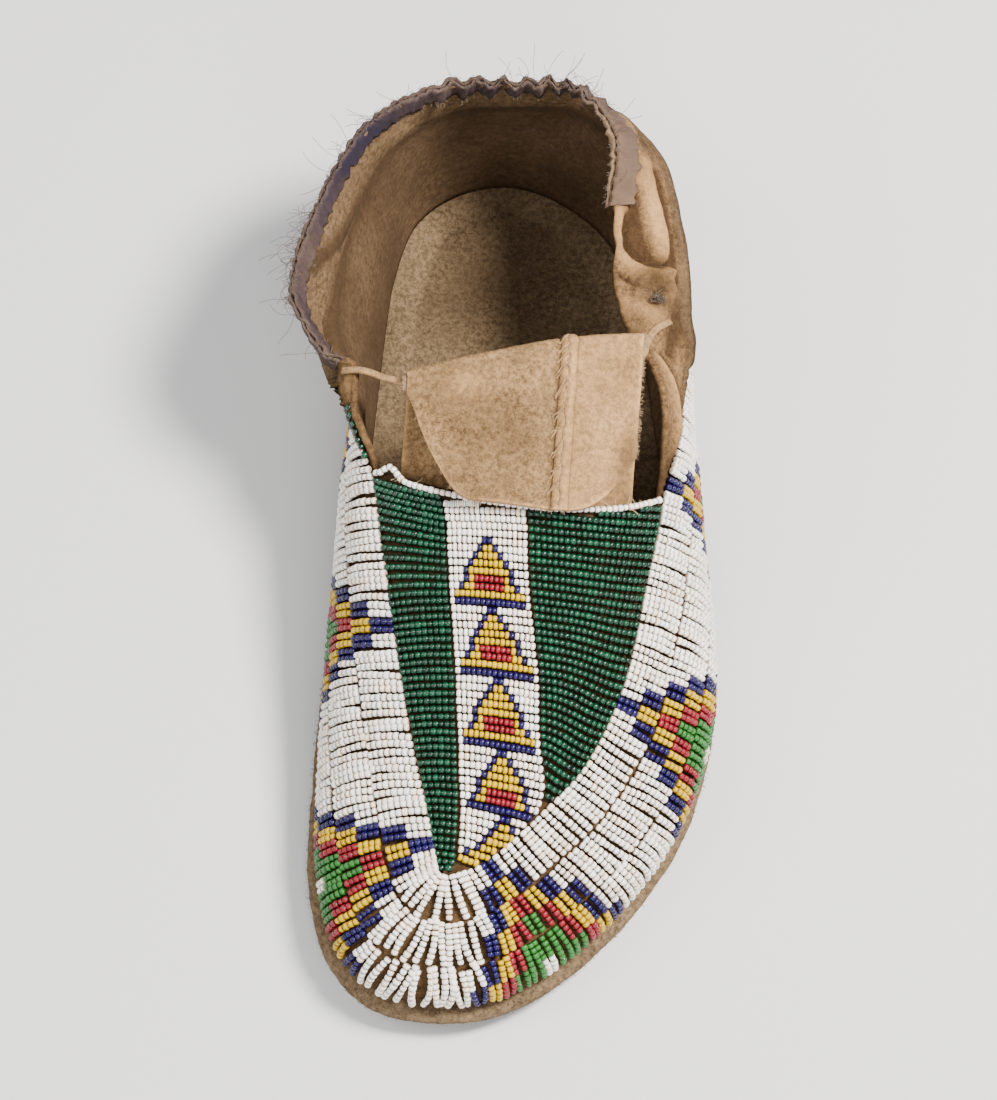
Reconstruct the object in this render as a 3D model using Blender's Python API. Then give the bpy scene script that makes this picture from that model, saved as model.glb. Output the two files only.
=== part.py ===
# A beaded hide moccasin for the left foot, standing empty on its rawhide sole.
# Metres, +Z up. The toe points to -Y and the big toe's side is -X.
# The hide wall is one ring of sections round the sole, closed over the instep by a vamp.
import math

import bmesh
import bpy
from mathutils import Vector

# Driving dimensions
FOOT_LENGTH = 0.240  # toe to heel, over the sole's edge
BALL_WIDTH = 0.099  # widest part of the sole
COLLAR_HEIGHT = 0.068  # floor to the hide's top edge at the heel
SOLE_THICKNESS = 0.0042
SOLE_CURL = 0.0016  # how far the sole's rim stands above its middle
SOLE_ROUNDING = 0.0042  # how far the edge curls in underneath
TOE_SPRING = 0.0035
ARCH_RISE = 0.0012
HIDE_WALL = 0.0018
SEAM_INSET = 0.0028  # from the sole's edge to the hide wall
GAP = 0.0003  # between touching pieces
SKIN_GAP = 0.0005  # between the hide and what is sewn on it
WELT_STRIP = 0.0028  # bare hide between the sole and the lowest beads
LANE_COUNT = 3
BAND_WIDTH = 0.0380  # height of the beaded band up the wall behind the throat
BEAD_HEIGHT = 0.0019
LANE_CROWN = 0.0004  # how much a lane's middle stands above its sides
BORDER_WIDTH = 0.0075  # the green lane along the top of the band
BINDING_DEPTH = 0.0045  # how far the folded strip reaches down the hide
BINDING_CLOTH = 0.0011
TONGUE_WALL = 0.0016
THONG_WIDTH = 0.0030
THONG_THICKNESS = 0.0015

# Sections of the sole's outline, toe centre to heel centre:
# share of the length, then the medial and lateral edges as shares of the ball width
SOLE_ROWS = (
    (0.000, -0.030, -0.030),
    (0.014, -0.185, 0.150),
    (0.066, -0.293, 0.322),
    (0.146, -0.345, 0.478),
    (0.238, -0.357, 0.592),
    (0.342, -0.358, 0.646),
    (0.450, -0.352, 0.628),
    (0.552, -0.340, 0.576),
    (0.655, -0.328, 0.520),
    (0.758, -0.320, 0.475),
    (0.855, -0.305, 0.425),
    (0.935, -0.250, 0.335),
    (0.983, -0.125, 0.185),
    (1.000, 0.030, 0.030),
)

# The wall's top line at the same sections, one table for each side. Up to the throat corner
# it is the vamp's seam, and behind it the collar. Columns:
# along: share of the length; out: share of the ball width; up: share of the collar height
# belly: how far the lower wall pushes out, share of the ball width
# hold, drop: the handle at the top line, outwards and down, shares of ball width and collar height
MEDIAL_WALL = (
    (0.1215, -0.012, 0.441, 0.026, 0.150, 0.062),
    (0.1240, -0.030, 0.443, 0.026, 0.150, 0.065),
    (0.1440, -0.045, 0.455, 0.026, 0.150, 0.075),
    (0.1970, -0.073, 0.485, 0.028, 0.145, 0.090),
    (0.2690, -0.118, 0.527, 0.030, 0.135, 0.100),
    (0.3440, -0.165, 0.575, 0.032, 0.120, 0.105),
    (0.4430, -0.217, 0.637, 0.034, 0.100, 0.105),
    (0.5460, -0.264, 0.690, 0.038, 0.070, 0.110),
    (0.6480, -0.325, 0.865, 0.038, -0.010, 0.260),
    (0.7180, -0.500, 0.920, 0.026, -0.120, 0.300),
    (0.8180, -0.465, 0.940, 0.026, -0.090, 0.300),
    (0.9180, -0.350, 0.960, 0.036, -0.050, 0.300),
    (0.9680, -0.160, 0.985, 0.046, 0.010, 0.300),
    (0.9750, 0.020, 1.000, 0.050, 0.040, 0.300),
)
LATERAL_WALL = (
    (0.1215, -0.012, 0.441, 0.026, 0.150, 0.062),
    (0.1230, 0.006, 0.440, 0.028, 0.150, 0.065),
    (0.1430, 0.090, 0.420, 0.034, 0.150, 0.080),
    (0.1950, 0.205, 0.425, 0.044, 0.155, 0.095),
    (0.2550, 0.320, 0.445, 0.050, 0.150, 0.105),
    (0.3430, 0.402, 0.490, 0.054, 0.135, 0.115),
    (0.4470, 0.440, 0.570, 0.058, 0.105, 0.110),
    (0.5410, 0.468, 0.670, 0.066, 0.075, 0.115),
    (0.6500, 0.462, 0.800, 0.080, 0.060, 0.230),
    (0.7280, 0.335, 0.880, 0.088, 0.205, 0.130),
    (0.8250, 0.300, 0.915, 0.084, 0.195, 0.140),
    (0.9200, 0.305, 0.965, 0.066, 0.110, 0.230),
    (0.9750, 0.185, 1.000, 0.054, 0.060, 0.300),
    (0.9750, 0.020, 1.000, 0.050, 0.040, 0.300),
)
SECTION_COUNT = len(SOLE_ROWS)
THROAT = 7  # the section of the throat's two corners
HEEL = SECTION_COUNT - 1
RING = 2 * HEEL  # sections in the closed ring: lateral side first, then medial side back
BELLY_RISE_SHARE = 0.5  # height of the wall's lower handle, share of its height

# The throat line dips towards the toe between its corners, and so do the rows below it
THROAT_DIP_SHARE = 0.046  # share of the length
VAMP_DIP_SHARE = 0.016
VAMP_SLOPE_RATIO = 0.42  # fall of the instep towards the toe
# Where the green fields meet the white strip, shares across the vamp at each section
MEDIAL_FIELD = (1.00, 0.72, 0.40, 0.295, 0.262, 0.258, 0.262, 0.268)
LATERAL_FIELD = (1.00, 1.00, 1.00, 0.990, 0.720, 0.610, 0.552, 0.527)

# The tongue's middle line from its root under the vamp, up, over the fold and back down:
# share of the length, share of the collar height
TONGUE_LINE = (
    (0.482, 0.660),
    (0.530, 0.750),
    (0.590, 0.845),
    (0.628, 0.908),
    (0.653, 0.948),
    (0.661, 0.985),
    (0.6525, 1.018),
    (0.627, 1.020),
    (0.582, 0.978),
    (0.534, 0.925),
    (0.489, 0.890),
)
TONGUE_MEDIAL_SHARE = -0.195  # its two long edges, shares of the ball width
TONGUE_LATERAL_SHARE = 0.395
TONGUE_SKEW_SHARE = 0.064  # the fold runs further back on the lateral side, share of the length
TONGUE_ARCH_SHARE = 0.065  # its sides lie lower than its middle, share of the collar height
# How far the flap's end is cut back at its medial corner, at the seam and at its lateral corner
FLAP_CUTS = (3.0, 0.30, 1.25)  # in rows of the line above
FLAP_SEAM_SHARE = 0.66  # the flap hangs lowest at its seam

# The thong from the medial wing through the fold: shares as in a wall table.
# Its lateral end crosses the collar's edge and lies on the hide above the green border.
THONG_LINE = (
    (0.640, -0.297, 0.865),
    (0.621, -0.250, 0.894),
    (0.6075, -0.150, 0.919),
    (0.6295, 0.000, 0.958),
    (0.645, 0.150, 0.965),
    (0.6535, 0.290, 0.9385),
    (0.6625, 0.375, 0.9235),
    (0.668, 0.402, 0.9310),
)
THONG_CROSSING = 8.6  # the ring station where it crosses the edge
THONG_END = 8.74
THONG_LIFT = 0.0034  # over the edge
BINDING_START = 10.2  # ring stations that the cloth binding covers, lateral wing to medial wing
BINDING_END = 17.9

# Mesh steps
STEPS = 3  # between two sections
WALL_STEPS = 9
LANE_STEPS = 3
BEZIER_STEPS = 24


def along(share):
    return (share - 0.5) * FOOT_LENGTH


def between(rows, at, closed):
    """Smooth value of a table at a fractional row, through every row."""
    count = len(rows)
    step = math.floor(at)
    t = at - step
    picked = []
    for offset in (-1, 0, 1, 2):
        row = step + offset
        picked.append(rows[row % count] if closed else rows[min(max(row, 0), count - 1)])
    p0, p1, p2, p3 = picked
    return tuple(
        0.5 * (2 * b + (c - a) * t + (2 * a - 5 * b + 4 * c - d) * t * t + (3 * b - a - 3 * c + d) * t ** 3)
        for a, b, c, d in zip(p0, p1, p2, p3)
    )


def ring_of(medial, lateral):
    """A closed ring of rows: toe centre, lateral side, heel centre, medial side."""
    return tuple(lateral) + tuple(reversed(medial[1:-1]))


SOLE_RING = ring_of(
    [(a, m) for a, m, _ in SOLE_ROWS],
    [(a, o) for a, _, o in SOLE_ROWS],
)
WALL_RING = ring_of(MEDIAL_WALL, LATERAL_WALL)


def ease(low, high, value):
    t = min(max((value - low) / (high - low), 0.0), 1.0)
    return t * t * (3 - 2 * t)


def sole_lift(y):
    """How far the sole's underside stands off the floor: toe spring and arch."""
    share = y / FOOT_LENGTH + 0.5
    spring = TOE_SPRING * (1 - ease(-0.04, 0.20, share)) / (1 - ease(-0.04, 0.20, 0.0))
    arch = ARCH_RISE * ease(0.46, 0.58, share) * (1 - ease(0.64, 0.76, share))
    return spring + arch


def outline(u):
    a, out = between(SOLE_RING, u % RING, True)
    return Vector((out * BALL_WIDTH, along(a), 0.0))


def outward(u):
    """Level direction out of the sole's outline."""
    d = outline(u + 0.05) - outline(u - 0.05)
    return Vector((-d.y, d.x, 0.0)).normalized() * -1.0


def sole_point(u, inset, height):
    p = outline(u) - outward(u) * inset
    p.z = sole_lift(p.y) + height
    return p


def wall_handles(u):
    """The four handles of the wall's curve at a station: foot, belly, top handle and top."""
    a, out, up, belly, hold, drop = between(WALL_RING, u % RING, True)
    foot = sole_point(u, SEAM_INSET, SOLE_THICKNESS + SOLE_CURL + GAP)
    top = Vector((out * BALL_WIDTH, along(a), up * COLLAR_HEIGHT))
    side = outward(u)
    rise = Vector((0, 0, top.z - foot.z))
    low = foot + side * belly * BALL_WIDTH + rise * BELLY_RISE_SHARE
    high = top + side * hold * BALL_WIDTH - Vector((0, 0, drop * COLLAR_HEIGHT))
    return foot, low, high, top


def bezier(p0, p1, p2, p3, t):
    s = 1 - t
    return p0 * s ** 3 + p1 * 3 * s * s * t + p2 * 3 * s * t * t + p3 * t ** 3


def wall_line(u):
    """The wall's curve at a station, and the distance up it at each point."""
    handles = wall_handles(u)
    points = [bezier(*handles, i / BEZIER_STEPS) for i in range(BEZIER_STEPS + 1)]
    reached = [0.0]
    for a, b in zip(points, points[1:]):
        reached.append(reached[-1] + (b - a).length)
    return points, reached


def wall_point(u, distance):
    """Point of the hide's outer face, that far up the wall from the sole's seam."""
    points, reached = wall_line(u)
    distance = min(max(distance, 0.0), reached[-1])
    i = 0
    while i < BEZIER_STEPS - 1 and reached[i + 1] < distance:
        i += 1
    t = (distance - reached[i]) / (reached[i + 1] - reached[i])
    return points[i].lerp(points[i + 1], t)


def wall_length(u):
    return wall_line(u)[1][-1]


def wall_normal(u, distance):
    reach = wall_length(u)
    step = reach / 60
    low, high = max(distance - step, 0.0), min(distance + step, reach)
    upward = wall_point(u, high) - wall_point(u, low)
    du = 0.04
    share = distance / reach
    ahead = wall_point(u + du, share * wall_length(u + du))
    behind = wall_point(u - du, share * wall_length(u - du))
    return (ahead - behind).cross(upward).normalized()


def band_top(u):
    """Distance up the wall to the beaded band's top: the vamp's seam, or the band's own height."""
    u = u % RING
    from_toe = min(u, RING - u)
    behind = ease(THROAT - 0.2, THROAT + 0.8, from_toe)
    reach = wall_length(u)
    return reach + (min(BAND_WIDTH, reach) - reach) * behind


def vamp_row(row):
    """Handles of the curve across the vamp at a fractional section."""
    _, _, high_m, top_m = wall_handles(RING - row)
    _, _, high_l, top_l = wall_handles(row)
    reach = (top_l - top_m).length / 3
    inner_m = (top_m - high_m).normalized() * reach
    inner_l = (top_l - high_l).normalized() * reach
    dip = VAMP_DIP_SHARE * min(row, THROAT) / THROAT + (THROAT_DIP_SHARE - VAMP_DIP_SHARE) * ease(THROAT - 2.0, THROAT, row)
    sink = Vector((0, -1, -VAMP_SLOPE_RATIO)) * dip * FOOT_LENGTH
    return top_m, top_m + inner_m + sink, top_l + inner_l + sink, top_l


def vamp_point(row, t):
    return bezier(*vamp_row(row), t)


def vamp_normal(row, t):
    d = 0.02
    across = vamp_point(row, min(t + d, 1)) - vamp_point(row, max(t - d, 0))
    back = vamp_point(min(row + 0.1, THROAT), t) - vamp_point(max(row - 0.1, 0.02), t)
    return across.cross(back).normalized()


def material(name, colour, roughness):
    made = bpy.data.materials.new(name)
    made.use_nodes = True
    shader = made.node_tree.nodes["Principled BSDF"]
    shader.inputs["Base Color"].default_value = (*colour, 1.0)
    shader.inputs["Roughness"].default_value = roughness
    shader.inputs["Metallic"].default_value = 0.0
    return made


def node(name, bm, look):
    """One closed piece from a bmesh, shaded smooth."""
    bmesh.ops.recalc_face_normals(bm, faces=bm.faces)
    mesh = bpy.data.meshes.new(name)
    bm.to_mesh(mesh)
    bm.free()
    mesh.shade_smooth()
    mesh.set_sharp_from_angle(angle=math.radians(40))
    made = bpy.data.objects.new(name, mesh)
    made.data.materials.append(look)
    bpy.context.scene.collection.objects.link(made)
    return made


def add_grid(bm, points, closed):
    """Quads over rows of points. With closed, the last row meets the first."""
    rows = [[bm.verts.new(p) for p in row] for row in points]
    pairs = list(zip(rows, rows[1:])) + ([(rows[-1], rows[0])] if closed else [])
    for a, b in pairs:
        for i in range(len(a) - 1):
            bm.faces.new((a[i], a[i + 1], b[i + 1], b[i]))
    return rows


def add_loft(bm, loops, closed):
    """A tube of closed loops, joined end to end or capped at both ends."""
    rows = [[bm.verts.new(p) for p in loop] for loop in loops]
    pairs = list(zip(rows, rows[1:])) + ([(rows[-1], rows[0])] if closed else [])
    for a, b in pairs:
        for i in range(len(a)):
            j = (i + 1) % len(a)
            bm.faces.new((a[i], a[j], b[j], b[i]))
    if not closed:
        bm.faces.new(rows[0])
        bm.faces.new(list(reversed(rows[-1])))


def stations(first, last, steps=STEPS):
    count = max(2, round((last - first) * steps))
    return [first + (last - first) * i / count for i in range(count + 1)]


def build_sole(look):
    """Rawhide slab with its rim curled up round the foot and rounded in underneath."""
    rim = SOLE_THICKNESS + SOLE_CURL
    levels = [
        (SOLE_ROUNDING * (1 - math.sin(a)), rim * 0.62 * (1 - math.cos(a)))
        for a in (math.radians(x) for x in (0, 30, 60, 90))
    ]
    seat = SEAM_INSET + HIDE_WALL + 4 * GAP
    levels += [(SOLE_ROUNDING * 0.1, rim * 0.86), (SEAM_INSET * 0.5, rim), (seat, rim), (seat * 2.0, SOLE_THICKNESS)]
    bm = bmesh.new()
    ring = stations(0, RING)[:-1]
    rows = add_grid(bm, [[sole_point(u, i, h) for i, h in levels] for u in ring], True)
    half = len(ring) // 2
    for side in (0, len(levels) - 1):
        loop = [row[side] for row in rows]
        # rungs from the lateral to the medial side follow the arch and the toe spring
        for k in range(1, half - 1):
            a, b = loop[k], loop[k + 1]
            c, d = loop[-k - 1], loop[-k]
            bm.faces.new((a, b, c, d))
        bm.faces.new((loop[0], loop[1], loop[-1]))
        bm.faces.new((loop[half - 1], loop[half], loop[half + 1]))
    return node("sole", bm, look)


def build_upper(look):
    """The hide: a ring of wall sections, the vamp across the front, thickened inwards."""
    bm = bmesh.new()
    ring = stations(0, RING)[:-1]
    grid = []
    for u in ring:
        reach = wall_length(u)
        grid.append([wall_point(u, reach * j / WALL_STEPS) for j in range(WALL_STEPS + 1)])
    rows = add_grid(bm, grid, True)
    tops = [row[-1] for row in rows]
    across = 8
    previous = None
    for k in range(1, THROAT * STEPS + 1):
        row = k / STEPS
        medial, lateral = tops[-k], tops[k]
        inner = [bm.verts.new(vamp_point(row, i / across)) for i in range(1, across)]
        line = [medial, *inner, lateral]
        if previous:
            for i in range(across):
                bm.faces.new((previous[i], previous[i + 1], line[i + 1], line[i]))
        else:
            for i in range(across):
                bm.faces.new((tops[0], line[i + 1], line[i]))
        previous = line
    made = node("upper", bm, look)
    wall = made.modifiers.new("wall", "SOLIDIFY")
    wall.thickness = HIDE_WALL
    wall.offset = -1
    wall.use_even_offset = False
    return made


def lane_loop(u, low, high):
    """Cross-section of a strip of beads on the wall, between two distances up it."""
    inner, outer = [], []
    for i in range(LANE_STEPS + 1):
        t = i / LANE_STEPS
        d = low + (high - low) * t
        p, n = wall_point(u, d), wall_normal(u, d)
        lift = BEAD_HEIGHT - LANE_CROWN + LANE_CROWN * 4 * t * (1 - t)
        outer.append(p + n * (SKIN_GAP + lift))
        inner.append(p + n * SKIN_GAP)
    return outer + list(reversed(inner))


def build_lane(index, name, look):
    """One of the bead lanes that run right round the foot."""
    loops = []
    for u in stations(0, RING)[:-1]:
        top = band_top(u)
        width = (top - WELT_STRIP) / LANE_COUNT
        low = WELT_STRIP + width * index + GAP / 2
        loops.append(lane_loop(u, low, low + width - GAP))
    bm = bmesh.new()
    add_loft(bm, loops, True)
    return node(name, bm, look)


def build_border(look):
    """The green lane above the band, from the throat's corner round the heel to the other corner."""
    loops = []
    first, last = THROAT + 0.2, RING - THROAT - 0.2
    for u in stations(first, last):
        edge = min(u - first, last - u)
        low = band_top(u) + GAP
        width = BORDER_WIDTH * (0.25 + 0.75 * ease(0.0, 0.7, edge))
        loops.append(lane_loop(u, low, min(low + width, wall_length(u) - 2 * GAP)))
    bm = bmesh.new()
    add_loft(bm, loops, False)
    return node("bead_border", bm, look)


def build_field(name, start, end, first, look):
    """A field of bead rows on the vamp, between two shares across it at each section."""
    loops = []
    for k in range(round(first * STEPS), THROAT * STEPS + 1):
        row = min(k / STEPS, THROAT - 0.01)
        a = between(start, row, False)[0]
        b = between(end, row, False)[0]
        width = (vamp_point(row, 1) - vamp_point(row, 0)).length
        a, b = a + GAP / width, b - GAP / width
        inner, outer = [], []
        parts = 4
        for i in range(parts + 1):
            t = a + (b - a) * i / parts
            p, n = vamp_point(row, t), vamp_normal(row, t)
            outer.append(p + n * (SKIN_GAP + BEAD_HEIGHT))
            inner.append(p + n * SKIN_GAP)
        loops.append(outer + list(reversed(inner)))
    bm = bmesh.new()
    add_loft(bm, loops, False)
    return node(name, bm, look)


def flap_cut(across):
    """How many rows of the line the flap's end stops short: a large round medial corner, a small lateral one."""
    corner, low, far = FLAP_CUTS
    rounding = corner * max(0.0, 1 - across / 0.32) ** 2
    slope = low * max(0.0, 1 - across / FLAP_SEAM_SHARE)
    return rounding + slope + far * max(0.0, (across - FLAP_SEAM_SHARE) / (1 - FLAP_SEAM_SHARE)) ** 2


def tongue_point(across, row):
    """Point of the tongue's middle surface. across runs from the medial edge to the lateral edge."""
    last, fold = len(TONGUE_LINE) - 1, 6.0
    row = min(row, fold) + max(row - fold, 0) * (last - flap_cut(across) - fold) / (last - fold)
    a, up = between(TONGUE_LINE, row, False)
    side = 2 * across - 1
    skew = TONGUE_SKEW_SHARE * side * 0.5 * ease(1.0, 4.0, row) * (1 - ease(7.0, last, row))
    x = (TONGUE_MEDIAL_SHARE + (TONGUE_LATERAL_SHARE - TONGUE_MEDIAL_SHARE) * across) * BALL_WIDTH
    z = (up - TONGUE_ARCH_SHARE * side * side) * COLLAR_HEIGHT
    return Vector((x, along(a + skew), z))


def build_tongue(look):
    """The hide tongue: up from under the vamp, folded forward over the thong."""
    bm = bmesh.new()
    across = 10
    rows = stations(0, len(TONGUE_LINE) - 1, 2)
    add_grid(bm, [[tongue_point(i / across, row) for i in range(across + 1)] for row in rows], False)
    made = node("tongue", bm, look)
    wall = made.modifiers.new("wall", "SOLIDIFY")
    wall.thickness = TONGUE_WALL
    wall.offset = 0
    return made


def build_binding(look):
    """The cloth strip folded over the collar's edge."""
    loops = []
    edge = HIDE_WALL / 2 + SKIN_GAP * 1.2
    face = edge + BINDING_CLOTH
    section = (
        (face, -BINDING_DEPTH),
        (face, 0.0),
        (edge, edge + BINDING_CLOTH * 0.7),
        (-edge, edge + BINDING_CLOTH * 0.7),
        (-face, 0.0),
        (-face, -BINDING_DEPTH),
        (-edge, -BINDING_DEPTH),
        (-edge, GAP),
        (edge, GAP),
        (edge, -BINDING_DEPTH),
    )
    for u in stations(BINDING_START, BINDING_END):
        reach = wall_length(u)
        top = wall_point(u, reach)
        upward = (top - wall_point(u, reach - BINDING_DEPTH)).normalized()
        side = wall_normal(u, reach - BINDING_DEPTH / 2)
        middle = top - side * HIDE_WALL / 2
        loops.append([middle + side * out + upward * rise for out, rise in section])
    bm = bmesh.new()
    add_loft(bm, loops, False)
    return node("collar_binding", bm, look)


def build_thong(look):
    """The flat hide thong that bars the instep inside the tongue's fold."""
    rows = stations(0, len(THONG_LINE) - 1, 3)
    points = []
    for row in rows:
        a, out, up = between(THONG_LINE, row, False)
        points.append(Vector((out * BALL_WIDTH, along(a), up * COLLAR_HEIGHT)))
    reach = wall_length(THONG_CROSSING)
    edge = reach - THONG_WIDTH
    points.append(wall_point(THONG_CROSSING, edge) + wall_normal(THONG_CROSSING, edge) * THONG_LIFT)
    seat = band_top(THONG_END) + BORDER_WIDTH + THONG_WIDTH
    lift = THONG_THICKNESS / 2 + SKIN_GAP
    points.append(wall_point(THONG_END, seat) + wall_normal(THONG_END, seat) * lift)
    loops = []
    for i, p in enumerate(points):
        run = (points[min(i + 1, len(points) - 1)] - points[max(i - 1, 0)]).normalized()
        flat = run.cross(Vector((0, 0, 1))).normalized()
        face = flat.cross(run).normalized()
        w, h = flat * THONG_WIDTH / 2, face * THONG_THICKNESS / 2
        loops.append([p + w + h, p - w + h, p - w - h, p + w - h])
    bm = bmesh.new()
    add_loft(bm, loops, False)
    return node("tie_thong", bm, look)


def stand_at_origin(pieces):
    """Hangs the pieces on one empty, with the middle of their footprint at the origin."""
    bpy.context.view_layer.update()
    graph = bpy.context.evaluated_depsgraph_get()
    corners = []
    for piece in pieces:
        corners += [piece.matrix_world @ Vector(c) for c in piece.evaluated_get(graph).bound_box]
    low = Vector([min(c[i] for c in corners) for i in range(3)])
    high = Vector([max(c[i] for c in corners) for i in range(3)])
    shoe = bpy.data.objects.new("moccasin", None)
    bpy.context.scene.collection.objects.link(shoe)
    shoe.location = (-(low.x + high.x) / 2, -(low.y + high.y) / 2, -low.z)
    for piece in pieces:
        piece.parent = shoe


def main():
    for old in list(bpy.data.objects):
        bpy.data.objects.remove(old)
    rawhide = material("rawhide", (0.36, 0.27, 0.18), 0.85)
    hide = material("smoked_hide", (0.50, 0.38, 0.25), 0.90)
    cloth = material("binding_cloth", (0.14, 0.12, 0.19), 0.85)
    white = material("white_beads", (0.80, 0.78, 0.72), 0.35)
    green = material("dark_green_beads", (0.01, 0.12, 0.06), 0.20)

    whole = tuple((share,) for share in (0.0,) * (THROAT + 1))
    far = tuple((share,) for share in (1.0,) * (THROAT + 1))
    medial = tuple((share,) for share in MEDIAL_FIELD)
    lateral = tuple((share,) for share in LATERAL_FIELD)
    pieces = [
        build_sole(rawhide),
        build_upper(hide),
        build_tongue(hide),
        build_lane(0, "bead_lane_lower", white),
        build_lane(1, "bead_lane_middle", white),
        build_lane(2, "bead_lane_upper", white),
        build_border(green),
        build_field("bead_field_medial", whole, medial, 1.0, green),
        build_field("bead_field_centre", medial, lateral, 1.34, white),
        build_field("bead_field_lateral", lateral, far, 3.34, green),
        build_binding(cloth),
        build_thong(hide),
    ]
    stand_at_origin(pieces)


main()
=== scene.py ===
import math
import random

import bpy
import numpy as np
from mathutils import Matrix, Vector, noise
from mathutils.bvhtree import BVHTree


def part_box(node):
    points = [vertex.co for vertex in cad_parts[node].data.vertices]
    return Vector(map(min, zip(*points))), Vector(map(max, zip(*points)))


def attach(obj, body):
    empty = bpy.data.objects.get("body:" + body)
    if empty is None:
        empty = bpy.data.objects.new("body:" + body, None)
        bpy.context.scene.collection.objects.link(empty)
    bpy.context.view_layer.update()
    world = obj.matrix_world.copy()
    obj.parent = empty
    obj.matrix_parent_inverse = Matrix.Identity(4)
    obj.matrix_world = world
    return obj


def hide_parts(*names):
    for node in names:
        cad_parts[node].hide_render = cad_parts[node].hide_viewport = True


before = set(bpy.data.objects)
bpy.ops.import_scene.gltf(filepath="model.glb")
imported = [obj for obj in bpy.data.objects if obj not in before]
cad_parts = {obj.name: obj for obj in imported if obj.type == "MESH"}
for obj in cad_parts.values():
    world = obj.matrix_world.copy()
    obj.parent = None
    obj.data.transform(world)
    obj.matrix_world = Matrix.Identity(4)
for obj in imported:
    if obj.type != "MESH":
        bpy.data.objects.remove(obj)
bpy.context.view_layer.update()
print("frame loaded")

# the last's form, in shares of its length, ball width and collar height
shoe = {
    "length": 0.240,
    "ballWidth": 0.099,
    "collarHeight": 0.068,
    "soleThickness": 0.0042,
    "soleCurl": 0.0016,
    "soleRounding": 0.0042,
    "toeSpring": 0.0035,
    "archRise": 0.0012,
    "hideWall": 0.0018,
    "seamInset": 0.0028,
    "weltStrip": 0.0028,
    "bandWidth": 0.0380,
    "borderWidth": 0.0075,
}
# share of length, medial edge, lateral edge
soleRows = (
    (0.000, -0.030, -0.030), (0.014, -0.185, 0.150), (0.066, -0.293, 0.322), (0.146, -0.345, 0.478),
    (0.238, -0.357, 0.592), (0.342, -0.358, 0.646), (0.450, -0.352, 0.628), (0.552, -0.340, 0.576),
    (0.655, -0.328, 0.520), (0.758, -0.320, 0.475), (0.855, -0.305, 0.425), (0.935, -0.250, 0.335),
    (0.983, -0.125, 0.185), (1.000, 0.030, 0.030),
)
# along, out, up, belly, hold, drop: the wall's top line and the handles of its curve
medialWall = (
    (0.1215, -0.012, 0.441, 0.026, 0.150, 0.062), (0.1240, -0.030, 0.443, 0.026, 0.150, 0.065),
    (0.1440, -0.045, 0.455, 0.026, 0.150, 0.075), (0.1970, -0.073, 0.485, 0.028, 0.145, 0.090),
    (0.2690, -0.118, 0.527, 0.030, 0.135, 0.100), (0.3440, -0.165, 0.575, 0.032, 0.120, 0.105),
    (0.4430, -0.217, 0.637, 0.034, 0.100, 0.105), (0.5460, -0.264, 0.690, 0.038, 0.070, 0.110),
    (0.6480, -0.325, 0.865, 0.038, -0.010, 0.260), (0.7180, -0.500, 0.920, 0.026, -0.120, 0.300),
    (0.8180, -0.465, 0.940, 0.026, -0.090, 0.300), (0.9180, -0.350, 0.960, 0.036, -0.050, 0.300),
    (0.9680, -0.160, 0.985, 0.046, 0.010, 0.300), (0.9750, 0.020, 1.000, 0.050, 0.040, 0.300),
)
lateralWall = (
    (0.1215, -0.012, 0.441, 0.026, 0.150, 0.062), (0.1230, 0.006, 0.440, 0.028, 0.150, 0.065),
    (0.1430, 0.090, 0.420, 0.034, 0.150, 0.080), (0.1950, 0.205, 0.425, 0.044, 0.155, 0.095),
    (0.2550, 0.320, 0.445, 0.050, 0.150, 0.105), (0.3430, 0.402, 0.490, 0.054, 0.135, 0.115),
    (0.4470, 0.440, 0.570, 0.058, 0.105, 0.110), (0.5410, 0.468, 0.670, 0.066, 0.075, 0.115),
    (0.6500, 0.462, 0.800, 0.080, 0.060, 0.230), (0.7280, 0.335, 0.880, 0.088, 0.205, 0.130),
    (0.8250, 0.300, 0.915, 0.084, 0.195, 0.140), (0.9200, 0.305, 0.965, 0.066, 0.110, 0.230),
    (0.9750, 0.185, 1.000, 0.054, 0.060, 0.300), (0.9750, 0.020, 1.000, 0.050, 0.040, 0.300),
)
throat, ring = 7, 26  # stations: 0 at the toe, lateral side first, 13 at the heel
throatDip, vampDip, vampSlope = 0.046, 0.016, 0.42
medialField = (1.00, 0.72, 0.40, 0.295, 0.262, 0.258, 0.262, 0.268)
lateralField = (1.00, 1.00, 1.00, 0.990, 0.720, 0.610, 0.552, 0.527)


def splineRow(rows, at, closed):
    # a smooth curve through the rows, at a place between two of them
    count, step = len(rows), math.floor(at)
    t = at - step
    p = []
    for offset in (-1, 0, 1, 2):
        row = step + offset
        p.append(rows[row % count] if closed else rows[min(max(row, 0), count - 1)])
    return [0.5 * (2 * b + (c - a) * t + (2 * a - 5 * b + 4 * c - d) * t * t
                   + (3 * b - a - 3 * c + d) * t ** 3) for a, b, c, d in zip(*p)]


def ease(low, high, value):
    t = np.clip((value - low) / (high - low), 0.0, 1.0)
    return t * t * (3 - 2 * t)


def unit(v):
    return v / np.maximum(np.linalg.norm(v, axis=-1, keepdims=True), 1e-12)


def lengthAlong(line):
    return np.concatenate(([0.0], np.cumsum(np.linalg.norm(np.diff(line, axis=0), axis=1))))


soleRing = [(a, o) for a, _, o in soleRows] + [(a, m) for a, m, _ in reversed(soleRows[1:-1])]
wallRing = list(lateralWall) + list(reversed(medialWall[1:-1]))


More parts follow.
